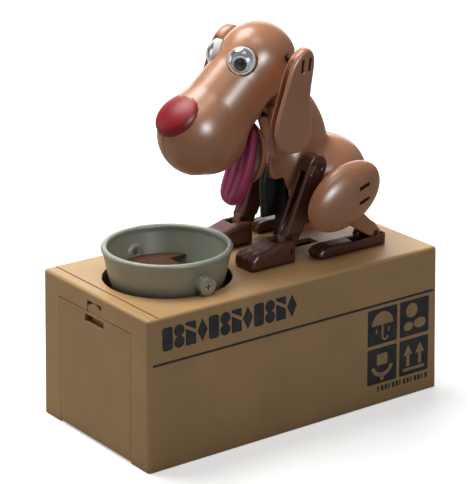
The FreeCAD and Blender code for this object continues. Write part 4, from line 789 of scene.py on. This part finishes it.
def toe_grooves(low_y, high_y, chain):
    """Two grooves that part three toes, each along a chain of (x, z, radius)."""
    grooves = []
    for share in (1 / 3, 2 / 3):
        y = low_y + (high_y - low_y) * share
        for (start_x, start_z, start), (end_x, end_z, end) in zip(chain[:-1], chain[1:]):
            grooves.append(taper((start_x, y, start_z), (end_x, y, end_z), start, end))
    return grooves


def stood_on_lid(shape):
    """A shape with a flat underside just above the lid."""
    return meet(0.3, shape, half_space((0, 0, -1), (0, 0, SOLE)))


def make_front_paws():
    """Shoe-like paws with three round toes and a slot behind for the leg."""
    for name in SIDES:
        low, high = corners(f"front_paw_{name}")
        front, back, top = PAW[0] - 22.0, PAW[0] + 2.2, high[2]
        side_view = [(front + 1.0, SOLE), (back, SOLE), (back, top), (back - 8, top), (front + 9, top - 2.0),
                     (front + 3.4, top - 2.6), (front + 0.6, top - 5.0), (front + 0.1, SOLE + 2.0)]
        base = plate(side_view, low[1], high[1], 2.2, False)
        toe_line = [(front + 0.2, SOLE - 2, 0.9), (front + 0.2, top - 4.2, 0.8),
                    (front + 5.6, top - 1.4, 0.5)]
        leg_low, leg_high = corners(f"foreleg_{name}")
        room_view = [(5.6, SOLE + 0.9), (17.6, SOLE + 0.9), (31, 82), (31, 90), (5.6, 90)]
        room = plate(room_view, leg_low[1] + 0.55, leg_high[1] - 0.55, 0.6, False)
        shape = cut(0.9, base, *toe_grooves(low[1], high[1], toe_line))
        shape = stood_on_lid(cut(0.5, shape, room))
        sculpt(f"front_paw_{name}", shape, MATERIALS["dog_brown"], "box", 0.42)


def make_thighs():
    """Egg-shaped haunches, flat inside, with a shank that runs down to the heel."""
    heel = middle("heel_pins")
    for name, side in SIDES.items():
        outer, inner = side_faces(f"thigh_{name}", side)
        y = inner + side * 7.0
        haunch = egg((HIP[0] - 12.7, y, HIP[2] - 2.9), (19.8, abs(outer - y), 13.3), -25)
        flat = half_space((0, -side, 0), (0, inner, 0))
        shank = plate_capsule(off(HIP, x=-6, z=-13), heel, 4.4, 2.8, inner, inner + side * 3.6)
        solid = join(3.0, meet(0.6, haunch, flat), shank)
        solid = meet(0.4, solid, flat)
        slots = []
        for drop in (0.0, 6.2):
            start = (37.4, outer - side * 5.6, 97.5 - drop)
            slots.append(brick(start, (43.6, outer + side * 3, 99.1 - drop), -14))
        hip_bore = rod(HIP, LOOSE_BORE, MID_Y + side * 19, MID_Y + side * 26.4)
        shape = cut(0.4, solid, *slots, hip_bore, bore(heel, TIGHT_BORE))
        sculpt(f"thigh_{name}", shape, MATERIALS["dog_tan"], "thighs", 0.5, 2.5)


def make_rear_feet():
    """Long low shoes with toes in front and an open cup behind for the heel."""
    heel = middle("heel_pins")
    for name, side in SIDES.items():
        low, high = corners(f"rear_foot_{name}")
        outer, inner = side_faces(f"rear_foot_{name}", side)
        front, back = low[0] - 2.6, high[0]
        side_view = [(front + 0.8, SOLE), (back, SOLE), (back, SOLE + 5.4), (back - 4, SOLE + 5.6),
                     (40, SOLE + 5.0), (front + 7, SOLE + 5.2), (front + 2, SOLE + 4.6), (front, SOLE + 2.6)]
        base = plate(side_view, inner, outer, 2.0, False)
        cheek_view = [(47, SOLE), (back, SOLE), (back, SOLE + 6.8), (back - 2.4, SOLE + 9.4),
                      (52.2, SOLE + 9.6), (48.6, SOLE + 7)]
        cheek = plate(cheek_view, inner, inner + side * 3.6, 1.4, False)
        thigh_inner = side_faces(f"thigh_{name}", side)[1]
        room_view = [(42, SOLE + 1.4), (back - 1.2, SOLE + 1.4), (back - 1.2, 90), (42, 90)]
        room = plate(room_view, thigh_inner - side * 0.4, thigh_inner + side * 4.0, 0.5, False)
        cup = rod(heel, 2.3, inner - side, thigh_inner + side * 0.2)
        toe_line = [(front - 0.4, SOLE - 2, 0.8), (front + 0.2, SOLE + 4.4, 0.7),
                    (front + 4.6, SOLE + 5.8, 0.5)]
        shape = cut(0.9, join(1.0, base, cheek), *toe_grooves(low[1], high[1], toe_line))
        shape = stood_on_lid(cut(0.5, shape, room, cup))
        sculpt(f"rear_foot_{name}", shape, MATERIALS["dog_brown"], "box", 0.42, 3.6)


# --- print on the front ---------------------------------------------------------------

# how far the front face of the case leans back with height
DRAFT = math.tan(math.radians(0.868))


def ink(name, shapes, material, lift=0.03, thick=0.06):
    """Closed thin prisms on the leaning front face, from outlines in x and z."""
    front = CAD_LOW[1] / MM
    points, faces = [], []
    for outline in shapes:
        outline = np.array(outline, float)
        x_now, z_now = outline.T
        x_next, z_next = np.roll(outline, -1, 0).T
        if np.sum(x_now * z_next - z_now * x_next) < 0:
            outline = outline[::-1]
        count, start = len(outline), len(points)
        for depth in (lift + thick, -lift):
            for x, z in outline:
                points.append((x, front + z * DRAFT - depth, z))
        faces.append(tuple(range(start, start + count)))
        faces.append(tuple(range(start + 2 * count - 1, start + count - 1, -1)))
        for index in range(count):
            after = (index + 1) % count
            faces.append((start + index, start + count + index, start + count + after, start + after))
    return mesh_piece(name, points, faces, material, "box", None, smooth=False)


def box_outline(x_low, x_high, z_low, z_high, cut_off=0.0):
    """A rectangle with clipped corners."""
    c = cut_off
    if not c:
        return [(x_low, z_low), (x_high, z_low), (x_high, z_high), (x_low, z_high)]
    return [(x_low + c, z_low), (x_high - c, z_low), (x_high, z_low + c), (x_high, z_high - c),
            (x_high - c, z_high), (x_low + c, z_high), (x_low, z_high - c), (x_low, z_low + c)]


def fan(x, z, radius, start=0, stop=360, steps=28, squash=1.0):
    """A disc or a part of one."""
    turns = np.radians(np.linspace(start, stop, steps, endpoint=stop - start < 360))
    return [(x + radius * math.cos(turn), z + radius * squash * math.sin(turn)) for turn in turns]


def band(x, z, inner, outer, start, stop, steps=20):
    """A curved stripe."""
    turns = np.radians(np.linspace(start, stop, steps))
    rim = [(x + outer * math.cos(turn), z + outer * math.sin(turn)) for turn in turns]
    return rim + [(x + inner * math.cos(turn), z + inner * math.sin(turn)) for turn in turns[::-1]]


def make_print():
    """A plain rule, a row of geometric tiles, four symbol squares and a row of short bars."""
    left, right = -74.4, 74.7
    ink("print_rule", [box_outline(left, right, 45.7, 46.7)], PRINT_NAVY)
    tiles, tile_count, first = [], 12, -69.6
    low, high, width, step = 51.4, 61.4, 5.1, 5.75
    centre = (low + high) / 2
    for index in range(tile_count):
        x = first + index * step
        kind = index % 4
        if kind == 0:
            tiles.append(box_outline(x, x + width, low, high, 0.8))
        elif kind == 1:
            tiles.append(fan(x + width / 2, low + width / 2, width / 2))
            tiles.append(fan(x + width / 2, high - width / 2, width / 2))
        elif kind == 2:
            tiles.append([(x, low), (x + width, low), (x + width, centre - 0.5), (x, high - 2.6)])
            tiles.append([(x, high), (x + width, high), (x + width, centre + 1.2), (x, high - 1.0)])
        else:
            tiles.append([(x + width / 2, low), (x + width, centre), (x + width / 2, high), (x, centre)])
    ink("print_tiles", tiles, PRINT_NAVY)
    square, gap = 16.5, 1.7
    columns = (37.6, 37.6 + square + gap)
    rows = (9.6, 9.6 + square + gap)
    squares = [box_outline(x, x + square, z, z + square, 0.5) for x in columns for z in rows]
    ink("print_squares", squares, PRINT_NAVY)
    symbols = []
    # an umbrella with drops
    x, z = columns[0] + square / 2, rows[1] + square / 2
    symbols.append(fan(x, z + 0.6, 6.0, 0, 180, 24))
    symbols.append(box_outline(x - 0.45, x + 0.45, z - 5.0, z + 1.0))
    symbols.append(band(x + 1.5, z - 5.0, 1.05, 1.95, 180, 360, 12))
    for shift in (-3.4, 3.6):
        symbols.append(box_outline(x + shift - 0.35, x + shift + 0.35, z - 3.2, z - 1.0))
    # three round stones
    x, z = columns[1] + square / 2, rows[1] + square / 2
    symbols.append(fan(x - 1.6, z + 3.4, 3.3))
    symbols.append(fan(x - 3.4, z - 3.8, 2.7, squash=0.75))
    symbols.append(fan(x + 3.2, z - 3.2, 3.4, squash=0.7))
    # a box held from below
    x, z = columns[0] + square / 2, rows[0] + square / 2
    symbols.append(box_outline(x - 3.0, x + 3.0, z + 0.2, z + 5.4, 0.4))
    symbols.append(band(x, z + 1.0, 4.6, 6.4, 196, 344, 22))
    symbols.append(box_outline(x - 0.9, x + 0.9, z - 7.0, z - 4.6))
    # two arrows that point up
    x, z = columns[1] + square / 2, rows[0] + square / 2
    for shift in (-3.4, 3.4):
        symbols.append([(x + shift - 2.6, z + 1.0), (x + shift + 2.6, z + 1.0), (x + shift, z + 5.8)])
        symbols.append(box_outline(x + shift - 0.9, x + shift + 0.9, z - 4.2, z + 1.2))
    symbols.append(box_outline(x - 6.2, x + 6.2, z - 6.4, z - 5.0))
    ink("print_symbols", symbols, PRINT_TAN, lift=0.08, thick=0.05)
    bars, bar_count, first, step = [], 14, 43.4, 2.1
    for index in range(bar_count):
        x = first + index * step
        bars.append(box_outline(x, x + (1.3 if index % 3 else 0.7), 5.8, 8.2))
    ink("print_bars", bars, PRINT_NAVY)


# --- stage ----------------------------------------------------------------------------

VIEW_AZIMUTH, VIEW_ELEVATION, VIEW_DISTANCE = -36.53, 19.17, 0.936
VIEW_LENS, VIEW_SENSOR = 162.7, 36.0
AIM_X, AIM_DROP = -0.0049, 0.0098


def make_floor():
    """A pale floor that is bright in the picture and throws little light back at the object."""
    material = finish("floor_pale", tone(246, 246, 246), rough=0.6, mottle=0.01, grain=0.05, grain_mm=3.0,
                      wear=0.0, wear_colour=tone(250, 250, 250), crevice_shade=0.0)
    tree = material.node_tree
    seen = add(tree, "LightPath").outputs["Is Camera Ray"]
    dim = add(tree, "BsdfDiffuse", Color=(0.3, 0.3, 0.3, 1))
    shader = tree.nodes["Principled BSDF"]
    shader.inputs["Emission Color"].default_value = (1, 1, 1, 1)
    shader.inputs["Emission Strength"].default_value = 0.45
    mixed = add(tree, "MixShader", Fac=seen, n1=dim.outputs["BSDF"], n2=shader.outputs["BSDF"])
    tree.links.new(mixed.outputs["Shader"], tree.nodes["Material Output"].inputs["Surface"])
    mesh = bpy.data.meshes.new("floor")
    reach, sunk = 3.0, 0.0002
    rim = [(-reach, -reach, 0), (reach, -reach, 0), (reach, reach, 0), (-reach, reach, 0)]
    mesh.from_pydata(rim, [], [(0, 1, 2, 3)])
    mesh.materials.append(material)
    floor = bpy.data.objects.new("floor", mesh)
    bpy.context.scene.collection.objects.link(floor)
    floor.location.z = -sunk


def direction_of(azimuth, elevation):
    """The direction from the object to a place seen at an azimuth and an elevation."""
    a, e = math.radians(azimuth), math.radians(elevation)
    return Vector((math.sin(a) * math.cos(e), -math.cos(a) * math.cos(e), math.sin(e)))


def make_lamp(name, azimuth, elevation, distance, size, power, colour=(1, 1, 1), diffuse=True):
    """A round lamp that looks at the object; without diffuse it only shows as a highlight."""
    lamp = bpy.data.lights.new(name, "AREA")
    lamp.shape, lamp.size, lamp.energy, lamp.color = "DISK", size, power, colour
    thing = bpy.data.objects.new(name, lamp)
    target = Vector((0, 0, 0.09))
    thing.location = target + direction_of(azimuth, elevation) * distance
    thing.rotation_euler = (target - thing.location).to_track_quat("-Z", "Y").to_euler()
    bpy.context.scene.collection.objects.link(thing)
    thing.visible_camera = False
    thing.visible_diffuse = diffuse


def make_studio():
    """Floor, pale surroundings, lamps and the camera of the photograph."""
    make_floor()
    world = bpy.data.worlds.new("studio")
    bpy.context.scene.world = world
    world.use_nodes = True
    tree = world.node_tree
    path = add(tree, "LightPath").outputs["Is Camera Ray"]
    level = add(tree, "MapRange", Value=path, To_Min=0.16, To_Max=1.0).outputs["Result"]
    sky = tree.nodes["Background"]
    sky.inputs["Color"].default_value = (1, 1, 1, 1)
    tree.links.new(level, sky.inputs["Strength"])
    make_lamp("key_lamp", -160, 66, 0.8, 0.5, 5.8, (1.0, 0.98, 0.95))
    make_lamp("back_lamp", 143, 14, 1.0, 0.9, 3.2)
    make_lamp("top_lamp", -20, 70, 0.9, 0.35, 1.3)
    make_lamp("left_lamp", -143, 6, 1.0, 0.6, 0.6)
    make_lamp("front_lamp", -6, 22, 1.0, 0.34, 6.5, diffuse=False)
    scene = bpy.context.scene
    scene.view_settings.view_transform = "Standard"
    lens = bpy.data.cameras.new("camera")
    lens.lens, lens.sensor_width = VIEW_LENS, VIEW_SENSOR
    camera = bpy.data.objects.new("camera", lens)
    centre = (CAD_LOW + CAD_HIGH) / 2
    target = Vector((AIM_X, 0.0, centre.z - AIM_DROP))
    camera.location = target + direction_of(VIEW_AZIMUTH, VIEW_ELEVATION) * VIEW_DISTANCE
    camera.rotation_euler = (target - camera.location).to_track_quat("-Z", "Y").to_euler()
    scene.collection.objects.link(camera)
    scene.camera = camera


paint_frame()
make_bowl()
make_head()
make_eyes()
make_ears()
make_jaw()
make_trunk()
make_throat()
make_belly_shade_plate()
make_forelegs()
make_front_paws()
make_thighs()
make_rear_feet()
make_print()
make_studio()
